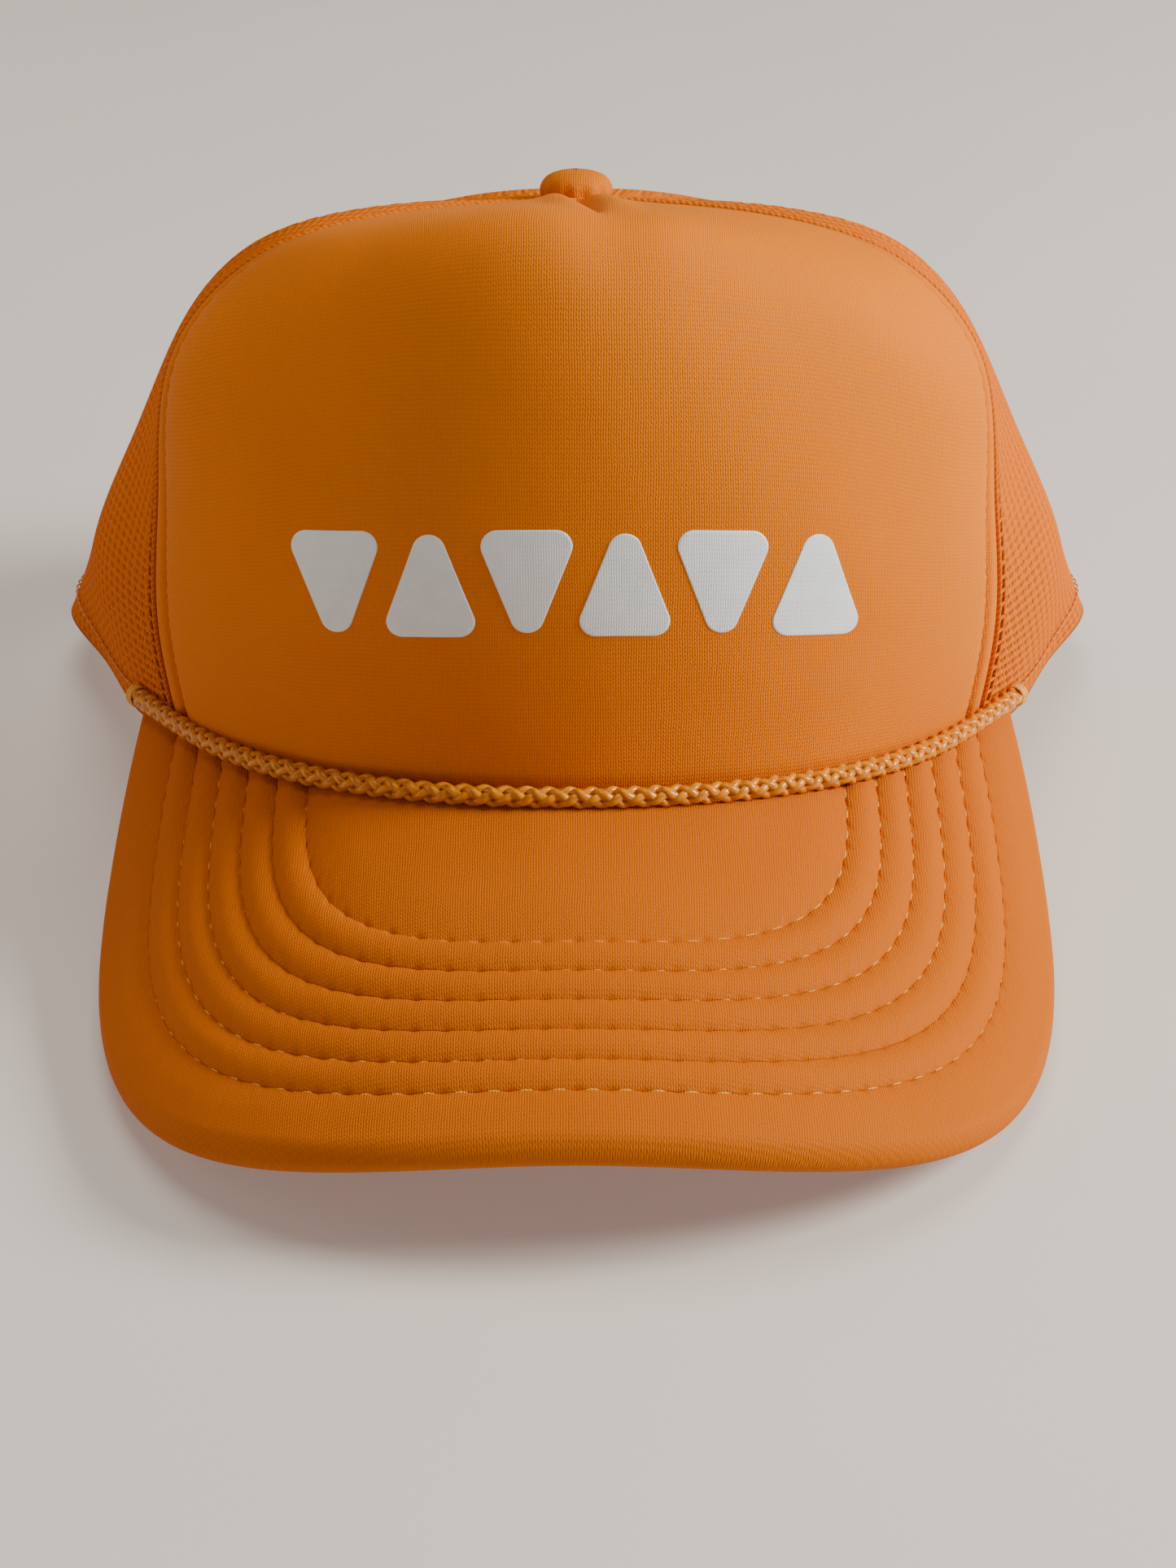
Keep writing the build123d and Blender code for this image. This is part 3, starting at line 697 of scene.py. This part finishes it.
def front_surface(share, up):
    """Lifted points of the front panel: share runs from -1 to 1 between its seams."""
    share, up = np.broadcast_arrays(share, up)
    seam_reach = FRONT_SEAM - PANEL_GAP / along(FRONT_SEAM, up)
    around = share * seam_reach
    plain = crown(around, up)
    ups, heights = climb(0.0, 0, 1.0)
    above = np.interp(up, ups, heights)
    below_top = np.interp(PANEL_TOP, ups, heights) - above
    width = along(around, up)
    to_seam = (seam_reach - np.abs(around)) * along(FRONT_SEAM, up)
    lift = front_lift(to_seam, above, above, below_top, around * width, plain)
    return plain + lift[..., None] * crown_normal(around, up), around * width, above


def make_front():
    share = spread_columns(301)[None, :]
    up = np.linspace(0, FRONT_TOP, 231)[:, None]
    face, across, above = front_surface(share, up)
    uv = np.stack([across, above], -1)
    normal = crown_normal(*np.broadcast_arrays(share * FRONT_SEAM, up))
    cloth = Shape()
    cloth.slab(face, face - 0.55 * MM * normal, uv)
    cloth.piece("front_panel", FRONT_CLOTH, "front_fabric", ["front_panel_face"])

    coarse = (slice(None, None, 3), slice(None, None, 3))
    outer = (face - 0.6 * MM * normal)[coarse]
    reach = (1 - np.abs(share)) * FRONT_SEAM * along(FRONT_SEAM, up)
    thick = 0.5 + 2.7 * smooth(reach / MM, 0, 9) * smooth((FRONT_TOP - up) * 60, 1, 8)
    wavy = 0.25 * unevenness(face[coarse], 9 * MM, 5.0)
    inner = outer - (thick[coarse] + wavy)[..., None] * MM * normal[coarse]
    foam = Shape()
    foam.slab(outer, inner, uv[coarse])
    pad = foam.piece("front_foam", FOAM, "foam", ["front_panel_foam"])


def seam_line(seam, distance, low, high, lift, count=400):
    """A line up the crown that keeps its distance from a seam, with the outward directions along it."""
    ups = np.linspace(low, high, count)
    around = seam + distance / along(seam, ups)
    return on_crown(around, ups, lift), crown_normal(around, ups)


def make_topstitching(side, name):
    ups = np.linspace(0.03, 0.93, 400)
    share = 1 - HEM / (FRONT_SEAM * along(FRONT_SEAM, ups))
    line = front_surface(side * share, ups)[0]
    shape = Shape()
    stitches(shape, line, crown_normal(side * FRONT_SEAM * share, ups), TOPSTITCH, 2.5 * MM,
             0.16 * MM, 0.25 * MM)
    shape.piece(f"front_stitches_{name}", SEAM_THREAD, "thread", [f"topstitching_{name}"])


make_front()
for wearer_side, direction in SIDES:
    make_topstitching(direction, wearer_side)


# ---------------------------------------------------------------- print
def rounded_triangle(flip, count):
    """Outline of a triangle with round corners, as (x, z) from its middle."""
    half, tall = PRINT_W / 2 - PRINT_CORNER * 1.5, PRINT_H / 2 - PRINT_CORNER
    corners = np.array([(-half, -tall), (half, -tall), (0, tall * 0.9)])
    dense = []
    for k in range(3):
        before, here, after = corners[k - 1], corners[k], corners[(k + 1) % 3]
        start, end = (math.atan2(-way[0], way[1]) for way in (here - before, after - here))
        end += 2 * math.pi if end < start else 0
        arc = np.linspace(start, end, 24)
        dense.append(here + PRINT_CORNER * np.stack([np.cos(arc), np.sin(arc)], -1))
    line = np.concatenate(dense + [dense[0][:1]])
    run = run_along(line)
    even = np.linspace(0, run[-1], count, endpoint=False)
    return points_at(even, run, line) * [1, flip]


def make_print():
    """A band of plain rounded triangles, alternately point up and point down."""
    shape = Shape()
    rings = np.concatenate([np.linspace(0.02, 0.96, 26), [0.985, 1.0]])
    heights = np.concatenate([np.full(26, 0.13), [0.11, -0.06]]) * MM
    for number in range(PRINT_COUNT):
        flip = 1 if number % 2 else -1
        outline = rounded_triangle(flip, 120)
        flat = rings[:, None, None] * outline[None]
        x = flat[..., 0] + (number - (PRINT_COUNT - 1) / 2) * PRINT_PITCH
        z = flat[..., 1] + PRINT_Z - x**2 / PRINT_DROOP
        around, up = find_on_crown(x, z, x / 0.62, np.full(x.shape, 0.24))
        share = around / (FRONT_SEAM - PANEL_GAP / along(FRONT_SEAM, up))
        points, across, above = front_surface(share, up)
        points = points + heights[:, None, None] * crown_normal(around, up)
        quads = grid_quads(len(rings), len(outline), closed=True)
        cap = list(range(shape.count, shape.count + len(outline)))
        shape.add(points, quads[:, ::-1] if flip == 1 else quads, np.stack([across, above], -1))
        shape.faces.append(cap if flip == 1 else cap[::-1])
    shape.piece("front_print_marks", INK, "print_ink", ["front_print"])


make_print()


# ---------------------------------------------------------------- netting
NET_ACROSS, NET_UP = 1.75 * MM, 1.95 * MM
SEAM_STRIP = 3.3 * MM
ABOVE_ARCH = 0.305           # where the back seam starts, as a share of the way up


def net_cell():
    """One cell of the netting: rings of 12 points from its border in to its hole, in cell widths."""
    border = [(-1, -1), (-0.33, -1), (0.33, -1), (1, -1), (1, -0.33), (1, 0.33),
              (1, 1), (0.33, 1), (-0.33, 1), (-1, 1), (-1, 0.33), (-1, -0.33)]
    border = np.array(border) / 2
    turn = np.arctan2(border[:, 1], border[:, 0])
    hole = np.stack([0.21 * np.cos(turn), 0.23 * np.sin(turn)], -1)
    middle = border * 0.55 + hole * 0.45
    return np.stack([border, middle, hole]), np.array([0.30, 0.22, 0.0]) * MM


def netting(start, end, low, high, depth, keep=None, shift=0.0):
    """Netting between two lines round the crown, given as functions of up."""
    middle = (start(low) + end(low)) / 2
    ups, heights = climb(middle, low, high)
    rings, lifts = net_cell()
    rows = int(heights[-1] / NET_UP)
    shape = Shape()
    faces = grid_quads(*rings.shape[:2], closed=True)
    for row in range(rows):
        places = np.linspace(0, 1, 60)
        level = np.interp((row + 0.5) * heights[-1] / rows, heights, ups)
        first, last = start(level), end(level)
        ring = crown(first + places * (last - first), level)
        run = run_along(ring)
        centre = np.interp((middle - first) / (last - first), places, run)
        brick = 0.5 * (row % 2) + shift
        lowest = math.floor(-centre / NET_ACROSS - brick) + 0.5
        columns = np.arange(lowest, (run[-1] - centre) / NET_ACROSS - brick + 0.5) + brick
        u = columns[:, None, None] * NET_ACROSS + rings[None, ..., 0] * NET_ACROSS + centre
        v = np.broadcast_to((row + 0.5 + rings[None, ..., 1]) * heights[-1] / rows, u.shape)
        up = np.interp(v, heights, ups)
        share = np.interp(np.clip(u, 0, run[-1]), run, places)
        around = start(up) + share * (end(up) - start(up))
        inside = np.ptp(np.clip(u, 0, run[-1]), axis=(1, 2)) > 0.25 * NET_ACROSS
        if keep is not None:
            inside &= keep(crown(around[:, 2, :].mean(1), up[:, 2, :].mean(1)))
        around, up, u, v = around[inside], up[inside], u[inside], v[inside]
        if not len(around):
            continue
        normal = crown_normal(around, up)
        base = crown(around, up) - depth * normal
        uv = np.stack([u, v], -1)
        for way in (1, -1):
            points = base + way * lifts[None, :, None, None] * normal
            quads = faces[None] + rings[..., 0].size * np.arange(len(points))[:, None, None]
            quads = quads.reshape(-1, 4)
            shape.add(points, quads if way == 1 else quads[:, ::-1], uv)
    return shape


def beside(seam, distance):
    """A line round the crown that keeps its distance from a seam."""
    return lambda up: seam + distance / along(seam, up)


def arch_half(z, grow):
    """Half the width of the rear opening at height z, larger all round by grow."""
    share = np.clip((z - ARCH_SHOULDER) / (ARCH_TOP + grow - ARCH_SHOULDER), 0, 1)
    return (ARCH_HALF + grow) * np.sqrt(1 - share**2)


def outside_arch(points):
    return np.abs(points[..., 0]) > arch_half(points[..., 2], BINDING_W - 2.2 * MM)


def mirrored(line):
    """The same line on the other side of the crown."""
    return lambda up: 1 - line(up)


def both_sides(start, end):
    """Start and end lines of a panel on the left, then of its mirror image on the right."""
    return (("left", (start, end)), ("right", (mirrored(end), mirrored(start))))


def make_netting():
    side = (beside(FRONT_SEAM, SEAM_STRIP), beside(SIDE_SEAM, -SEAM_STRIP), None)
    back = (beside(SIDE_SEAM, SEAM_STRIP), beside(BACK_SEAM, -SEAM_STRIP), outside_arch)
    for where, (start, end, keep) in (("side", side), ("back", back)):
        for name, lines in both_sides(start, end):
            shape = netting(*lines, 0.004, 0.97, 0.3 * MM, keep)
            shape.piece(f"{where}_netting_{name}", NETTING, "mesh", [f"mesh_{where}_{name}"])
    hem = Shape()
    for start, end, keep in (side, back):
        for _, lines in both_sides(start, end):
            part = netting(*lines, 0.004, 0.075, 1.3 * MM, keep, 0.5)
            hem.add(np.concatenate(part.points), part.faces, np.concatenate(part.uv))
    hem.piece("netting_hem", NETTING, "mesh")


def make_seam_strips():
    """Beside each seam of the netting: a ladder of thread, two rails and the loops between them."""
    rail, loop_pitch, slant = 0.46 * MM, 2.7 * MM, 0.35 * MM
    for name, side in SIDES:
        shape = Shape()
        ladders = [(FRONT_SEAM, 1), (SIDE_SEAM, -1), (SIDE_SEAM, 1), (BACK_SEAM, -1)]
        for seam, way in ladders:
            low = 0.004 if seam != BACK_SEAM else ABOVE_ARCH
            seam, way = (seam, way) if side == 1 else (1 - seam, -way)
            near, out = seam_line(seam, way * 0.55 * MM, low, 0.972, 0.15 * MM)
            far, _ = seam_line(seam, way * SEAM_STRIP, low, 0.972, 0.05 * MM)
            run = run_along(near)
            knots = 0.82 + 0.18 * np.abs(np.sin(np.pi * run / loop_pitch))
            shape.tube(near, rail * 1.25 * knots, 8, out)
            shape.tube(far, rail * knots, 8, out)
            for at in np.arange(1.4 * MM, run[-1] - 2 * MM, loop_pitch):
                share = np.linspace(0, 1, 5)[:, None]
                path = points_at(at, run, near) * (1 - share) + points_at(at + slant, run, far) * share
                shape.tube(path, 0.36 * MM, 6)
        shape.piece(f"seam_loops_{name}", NETTING, "mesh")


def make_hem_edge():
    """The folded lower edge of the netting, and the stitching that holds it."""
    around = np.linspace(FRONT_SEAM, BACK_SEAM - (ARCH_HALF + 1 * MM) / along(BACK_SEAM, 0.0), 420)
    for name, side in SIDES:
        edge, thread = Shape(), Shape()
        turn = around if side == 1 else 1 - around
        up = np.full(turn.shape, 0.002)
        out = crown_normal(turn, up)
        edge.tube(on_crown(turn, up, -0.75 * MM), 0.85 * MM, 10, out)
        edge.piece(f"hem_edge_{name}", TAPE, "tape")
        line = on_crown(turn, np.full(turn.shape, 0.034), 0.35 * MM)
        stitches(thread, line, out, 3.2 * MM, 2.6 * MM, 0.15 * MM, 0.3 * MM)
        thread.piece(f"hem_stitches_{name}", SEAM_THREAD, "thread")


make_netting()
make_seam_strips()
make_hem_edge()


# ---------------------------------------------------------------- inside the crown
def band_depth(around):
    """Depth of the sweatband's outer face: clear of the foam in front, closer to the netting behind."""
    turn = np.abs((around + 0.5) % 1.0 - 0.5)
    share = smooth(turn, FRONT_SEAM, FRONT_SEAM + 0.06)
    return (4.45 - 1.0 * share) * MM


def make_sweatband():
    end = BACK_SEAM - (ARCH_HALF + TAB_LENGTH + 4 * MM) / along(BACK_SEAM, 0.0)
    around = np.linspace(-end, end, 520)[None, :]
    up = np.linspace(0.005, SWEATBAND_TOP, 30)[:, None]
    run = around * along(0.1, 0.0)
    height = np.interp(up, *climb(0.2, 0, SWEATBAND_TOP))
    place = crown(around, up)
    sway = (0.35 * unevenness(place, 16 * MM, 2.0)) * MM
    round_top = 0.45 * MM * smooth(up, SWEATBAND_TOP * 0.93, SWEATBAND_TOP)
    outer = on_crown(around, up, -(band_depth(around) + round_top + sway))
    inner = on_crown(around, up, -(band_depth(around) + 1.25 * MM - round_top + sway))
    uv = np.stack(np.broadcast_arrays(run, height), -1)
    band = Shape()
    band.slab(outer, inner, uv)
    band.piece("sweatband_cloth", BAND_CLOTH, "sweatband_cloth", ["sweatband"])
    backing = Shape()
    rows = slice(0, 27)
    behind = outer + 0.5 * MM * crown_normal(*np.broadcast_arrays(around, up))
    backing.slab(behind[rows], outer[rows], uv[rows])
    backing.piece("sweatband_lining", BAND_CLOTH, "sweatband_cloth", ["sweatband_backing"])
    thread = Shape()
    for level in (0.012, SWEATBAND_TOP * 0.9):
        turn = np.linspace(-end, end, 700)
        lift = -(band_depth(turn) + 1.25 * MM)
        line = on_crown(turn, np.full(700, level), lift)
        out = -crown_normal(turn, np.full(700, level))
        stitches(thread, line, out, 3.4 * MM, 2.7 * MM, 0.22 * MM, 0.25 * MM)
    thread.piece("sweatband_stitches", SEAM_THREAD, "thread")


TAPE_END = 0.85              # how far up a rib the tapes reach


def make_tape(name, seam, low, high, depth):
    """A folded tape over a seam, crowned across, with a row of stitches near each edge."""
    share = np.linspace(-1, 1, 21)[None, :]
    up = np.linspace(low, high, 160)[:, None]
    around = seam + share * 5 * MM / along(seam, up)
    crowned = 0.35 * MM * (1 - share**2) + 0.08 * MM * np.sin(share * 9)
    outer = on_crown(around, up, -depth)
    inner = on_crown(around, up, -(depth + 0.35 * MM + crowned))
    height = np.interp(up, *climb(seam, low, high))
    tape = Shape()
    tape.slab(outer, inner, np.stack(np.broadcast_arrays(share * 5 * MM, height), -1))
    tape.piece(f"{name}_cloth", TAPE, "tape", [name])
    thread = Shape()
    for edge in (-3.7, 3.7):
        line, out = seam_line(seam, edge * MM, low, high, -(depth + 0.52 * MM))
        stitches(thread, line, -out, 3.2 * MM, 2.6 * MM, 0.18 * MM, 0.2 * MM, 0.18 * MM)
    thread.piece(f"{name}_stitches", SEAM_THREAD, "thread")


make_sweatband()
for where, seam, below in (("front", FRONT_SEAM, 3.3 * MM), ("side", SIDE_SEAM, 1.2 * MM)):
    for wearer_side, direction in SIDES:
        make_tape(f"seam_tape_{where}_{wearer_side}", direction * seam, 0.12, TAPE_END, below)
make_tape("seam_tape_back", BACK_SEAM, ABOVE_ARCH, TAPE_END, 1.1 * MM)


# ---------------------------------------------------------------- rear opening
def arch_path(count):
    """Points of the opening's edge from one lower end to the other, and their outward directions."""
    turn = np.linspace(0, np.pi, count - 60)
    tall = ARCH_TOP - ARCH_SHOULDER
    curve = np.stack([ARCH_HALF * np.cos(turn), ARCH_SHOULDER + tall * np.sin(turn)], -1)
    leg = np.linspace(1.2 * MM, ARCH_SHOULDER, 31)[:-1]
    right = np.stack([np.full(30, ARCH_HALF), leg], -1)
    line = np.concatenate([right, curve, right[::-1] * [-1, 1]])
    way = unit(np.gradient(line, axis=0))
    return line, np.stack([way[:, 1], -way[:, 0]], -1)


def make_binding():
    """Tape folded round the edge of the opening, with two rows of stitches."""
    line, out = arch_path(360)
    profile = [(7.0, -0.15), (6.9, 0.35), (6.3, 0.62), (4.2, 0.8), (2.0, 0.82), (0.7, 0.7), (0.1, 0.2),
               (0.0, -0.5), (0.1, -1.2), (0.7, -1.55), (2.0, -1.65), (4.2, -1.62), (6.3, -1.5),
               (6.9, -1.3), (7.0, -0.85)]
    rows = []
    for grow, lift in profile:
        place = line + grow * MM * out
        guess = BACK_SEAM - place[:, 0] / 0.62
        around, up = find_on_crown(place[:, 0], place[:, 1], guess, place[:, 1] / 0.15)
        rows.append(on_crown(around, up, lift * MM))
    points = np.stack(rows)
    run = run_along(points[3])
    across = np.cumsum([0] + [math.dist(a, b) for a, b in zip(profile, profile[1:])]) * MM
    uv = np.stack(np.broadcast_arrays(run[None, :], across[:, None]), -1)
    tape = Shape()
    tape.slab(points, points + 0.1 * (points.mean(0, keepdims=True) - points), uv)
    tape.piece("opening_binding", TAPE, "tape", ["arch_binding"])
    thread = Shape()
    outwards = crown_normal(np.full(len(line), BACK_SEAM), np.full(len(line), 0.25))
    for row in (3, 4):
        stitches(thread, points[row], outwards, 3.0 * MM, 2.5 * MM, 0.2 * MM, 0.25 * MM)
    thread.piece("opening_stitches", THREAD, "thread")


make_binding()


# ---------------------------------------------------------------- brim
BRIM_REAR = 62 * MM          # the sides run back this far behind the seam, into the crown
BRIM_INNER = 86 * MM         # inset of the sheets' inner edge, inside the crown
EDGE_TURN = 3.2 * MM         # inset where the top cover starts to turn round the edge
TOP_PUFF = 0.95              # height of the padding between the stitch rows, in mm
UNDER_PUFF = 0.25
STITCH = 5.3 * MM            # one stitch of the brim to the next


def row_inset(number):
    """Distance from the brim's edge to a stitch row; row 1 is the innermost."""
    return ROW_EDGE + (ROW_COUNT - number) * ROW_PITCH


def brim_puff(inset, run, points, height):
    """How the padding stands up between the stitch rows, and dips at each needle hole."""
    rows = np.array([row_inset(number) for number in range(ROW_COUNT, 0, -1)])
    gap = np.abs(inset[..., None] - rows).min(-1)
    inner = np.clip((inset - rows[-1]) / (9 * MM), 0, 1)
    outer = np.clip((rows[0] - inset) / (6 * MM), 0, 1)
    between = np.clip(gap / (ROW_PITCH / 2), 0, 1)
    share = np.where(inset > rows[-1], inner, np.where(inset < rows[0], outer, between))
    roll = np.sin(share * np.pi / 2) ** 0.75
    hole = np.cos(2 * np.pi * run / STITCH)
    dimple = -0.45 * np.exp(-gap / (0.7 * MM)) * (0.5 + 0.5 * hole) ** 3
    pucker = 0.07 * np.exp(-gap / (2.0 * MM)) * hole * (1 - np.exp(-gap / (0.6 * MM)))
    soft = 0.14 * unevenness(points, 13 * MM, 6.0) * share
    return (height * roll + dimple + pucker + soft - 0.12) * MM


def edge_profile():
    """Insets and lifts of the top cover: in from the crown, then round the brim's edge and under it."""
    rows = [row_inset(number) for number in range(1, ROW_COUNT + 1)]
    insets = list(np.linspace(BRIM_INNER, rows[0] + 3 * MM, 34))
    for first, last in zip([rows[0] + 3 * MM] + rows, rows + [EDGE_TURN]):
        share = np.linspace(0, 1, 17)[1:]
        crowded = share - 0.098 * np.sin(2 * np.pi * share)
        insets += list(first + (last - first) * crowded)
    lifts = [0.0] * len(insets)
    for turn in np.linspace(0, np.pi, 15)[1:]:
        insets.append(EDGE_TURN - 3.4 * MM * np.sin(turn) ** 0.8)
        lifts.append((np.cos(turn) - 1) * (BRIM_STACK + 0.5 * MM) / 2 + 0.25 * MM)
    return np.array(insets), np.array(lifts)


def brim_sheet(insets, lifts, columns, puff, way):
    """A lifted sheet of the brim, its rows following the stitch rows."""
    flat, runs = [], []
    for inset in insets:
        line, run = brim_line(inset, BRIM_REAR, columns)
        flat.append(line)
        runs.append(run - run[-1] / 2)
    flat, runs = np.array(flat), np.array(runs)
    inset = np.broadcast_to(insets[:, None], runs.shape)
    plain = on_brim(flat[..., 0], flat[..., 1], lifts[:, None])
    lift = lifts[:, None] + way * brim_puff(inset, runs, plain, puff) * smooth(inset, -0.2 * MM, EDGE_TURN)
    return on_brim(flat[..., 0], flat[..., 1], lift), flat


def trimmed(points, quads, margin):
    """The faces that aren't hidden inside the crown."""
    hidden = inside_crown(points.reshape(-1, 3), margin)
    return quads[~hidden[quads].all(1)]


def make_brim_sheet(name, insets, lifts, columns, puff, way, thickness, material, slot, replaces):
    """One layer of the brim, as a sheet whose thickness lies behind its face."""
    points, flat = brim_sheet(insets, lifts, columns, puff, way)
    rows = points.shape[0]
    quads = trimmed(points, grid_quads(rows, columns), 1.5 * MM)
    if way == 1:
        quads = quads[:, ::-1]
    used, compact = np.unique(quads, return_inverse=True)
    shape = Shape()
    shape.add(points.reshape(-1, 3)[used], compact.reshape(-1, 4), flat.reshape(-1, 2)[used])
    obj = shape.piece(name, material, slot, replaces)
    solid = obj.modifiers.new("thickness", "SOLIDIFY")
    solid.thickness = thickness
    solid.offset = -1
    bpy.context.view_layer.objects.active = obj
    with bpy.context.temp_override(object=obj, active_object=obj):
        bpy.ops.object.modifier_apply(modifier=solid.name)
    return obj


def make_brim():
    insets, lifts = edge_profile()
    make_brim_sheet("brim_top", insets, lifts, 620, TOP_PUFF, 1, 0.35 * MM, BRIM_CLOTH, "brim_fabric",
                    ["visor_top_cover"])
    rows = [row_inset(number) for number in range(ROW_COUNT, 0, -1)]
    under = [2.2 * MM]
    for first, last in zip([2.2 * MM] + rows, rows + [rows[-1] + 3 * MM]):
        under += list(np.linspace(first, last, 9)[1:])
    under += list(np.linspace(rows[-1] + 3 * MM, BRIM_INNER, 22)[1:])
    under = np.array(under)
    level = np.full(len(under), -BRIM_STACK)
    make_brim_sheet("brim_under", under, level, 420, UNDER_PUFF, -1, 0.35 * MM, BRIM_CLOTH, "brim_fabric",
                    ["visor_under_cover"])
    inside = np.linspace(4.5 * MM, BRIM_INNER, 40)
    make_brim_sheet("brim_board", inside, np.full(40, -2.6 * MM), 200, 0.0, 1, 1.5 * MM, BOARD_PLASTIC,
                    "brim_board", ["visor_board"])
    padding = make_brim_sheet("brim_padding", inside, np.full(40, -0.9 * MM), 200, 0.0, 1, 1.5 * MM, FOAM,
                              "foam", ["visor_foam"])


def make_brim_stitches():
    """Each stitch row shows on the top and on the underside, wherever the crown doesn't hide it."""
    above = np.array([0, -math.sin(BRIM_PITCH), math.cos(BRIM_PITCH)])
    for number in range(1, ROW_COUNT + 1):
        thread = Shape()
        for lift, puff, way in ((0.0, TOP_PUFF, 1), (-BRIM_STACK, UNDER_PUFF, -1)):
            inset = np.array([row_inset(number)])
            points, _ = brim_sheet(inset, np.array([lift]), 1400, puff, way)
            line = points[0]
            shown = ~inside_crown(line, -0.8 * MM)
            first, last = np.flatnonzero(shown)[[0, -1]]
            line = line[first : last + 1]
            ahead = unit(np.gradient(line, axis=0))
            out = way * unit(line * [1, 0, 0] + BRIM_RADIUS * above)
            out = unit(out - (out * ahead).sum(-1, keepdims=True) * ahead)
            stitches(thread, line + 0.10 * MM * out, out, STITCH, 4.7 * MM, 0.22 * MM, 0.35 * MM)
        thread.piece(f"brim_stitches_{number}", THREAD, "thread", [f"visor_stitch_row_{number}"])


make_brim()
make_brim_stitches()


# ---------------------------------------------------------------- button
def make_button():
    """A low dome covered in the front's cloth, gathered under its rim."""
    lean = np.array([0, math.sin(BUTTON_TILT), math.cos(BUTTON_TILT)])
    ahead = np.array([0, -lean[2], lean[1]])
    across = np.array([1.0, 0, 0])
    seat = SEAM + np.array(APEX) * MM + lean * 1.1 * MM
    rings, columns = 40, 144
    turn = np.linspace(0, 2 * np.pi, columns, endpoint=False)[None, :]
    share = np.linspace(0, 1, rings)[:, None]
    angle = share * (np.pi / 2 + 0.75)
    radius = BUTTON_D / 2 * np.sin(np.minimum(angle, np.pi / 2)) ** 0.9
    radius = radius - 2.2 * MM * smooth(angle, np.pi / 2 + 0.1, np.pi / 2 + 0.75)
    height = (BUTTON_H - 1.0 * MM) * np.sign(np.cos(angle)) * np.abs(np.cos(angle)) ** 0.85 + 1.0 * MM
    pleat = 0.16 * MM * smooth(angle, 0.9, 1.7) * np.sin(13 * turn + 0.6 * np.sin(3 * turn))
    dent = 0.18 * MM * np.sin(2 * turn + 0.5) * np.sin(angle) ** 2
    radius = radius + pleat
    height = height + dent * 0.5
    points = (
        seat
        + (radius * np.cos(turn))[..., None] * across
        + (radius * np.sin(turn))[..., None] * ahead
        + np.broadcast_to(height, (rings, columns))[..., None] * lean
    )
    quads = grid_quads(rings, columns, closed=True)[columns:]
    uv = np.stack(np.broadcast_arrays(radius * np.cos(turn), radius * np.sin(turn) + share * 4 * MM), -1)
    shape = Shape()
    shape.add(points, quads[:, ::-1], uv)
    shape.faces.append(list(range(columns, 2 * columns))[::-1])
    shape.piece("button_cloth_cover", BUTTON_CLOTH, "front_fabric", ["button_cover"])


make_button()


# ---------------------------------------------------------------- CAD pieces that stay
def dress(node, material):
    """A CAD node keeps its shape and gets its material."""
    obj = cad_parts[node]
    obj.data.materials.clear()
    obj.data.materials.append(material)


for strap in ("strap_holes", "strap_pegs", "strap_holes_tab", "strap_pegs_tab"):
    dress(strap, SNAP_PLASTIC)
for metal in ("button_shell", "button_rivet", "button_washer"):
    dress(metal, STEEL)


# ---------------------------------------------------------------- floor and light
ROOM = (0.88, 0.82, 0.76)


def make_floor():
    """A pale painted table top that reaches past every view."""
    mesh = bpy.data.meshes.new("floor")
    far = 40.0
    mesh.from_pydata([(-far, -far, 0), (far, -far, 0), (far, far, 0), (-far, far, 0)], [], [(0, 1, 2, 3)])
    surface = Surface("painted_table", 0.35, 0.0, 0.4)
    cloudy = surface.noise(120 * MM, 3)
    pale = (0.70, 0.66, 0.62)
    paint = surface.colours(cloudy, (0.3, shade(pale, 0.97)), (0.7, pale))
    rough = surface.math("MULTIPLY_ADD", cloudy, 0.15, 0.30)
    surface.shader.inputs["Emission Color"].default_value = (*ROOM, 1)
    surface.shader.inputs["Emission Strength"].default_value = 0.19
    mesh.materials.append(surface.finish(paint, None, rough))
    floor = add_object("floor", mesh)


def area_light(name, place, size, power, colour):
    data = bpy.data.lights.new(name, "AREA")
    data.shape = "DISK"
    data.size = size
    data.energy = power
    data.color = colour
    light = add_object(name, data)
    light.location = place
    aim = Vector((0, 0, 0.06)) - light.location
    light.rotation_euler = aim.to_track_quat("-Z", "Y").to_euler()


def make_light():
    area_light("window", (1.1, -0.08, 0.68), 0.5, 27, (1.0, 0.96, 0.88))
    area_light("overhead", (0.0, 0.2, 1.5), 0.9, 9.5, (1.0, 0.95, 0.88))
    area_light("warm_fill", (-1.1, 0.0, 0.5), 0.9, 2.8, (1.0, 0.66, 0.42))
    world = bpy.data.worlds.new("room")
    world.use_nodes = True
    nodes, links = world.node_tree.nodes, world.node_tree.links
    way = nodes.new("ShaderNodeTexCoord")
    split = nodes.new("ShaderNodeSeparateXYZ")
    walls = nodes.new("ShaderNodeValToRGB")
    links.new(way.outputs["Generated"], split.inputs[0])
    links.new(split.outputs[2], walls.inputs[0])
    links.new(walls.outputs[0], nodes["Background"].inputs[0])
    for element, (height, amount) in zip(walls.color_ramp.elements, ((0.12, 0.40), (0.5, 0.09))):
        element.position = height
        element.color = (*shade(ROOM, amount), 1)
    bpy.context.scene.world = world


make_floor()
make_light()
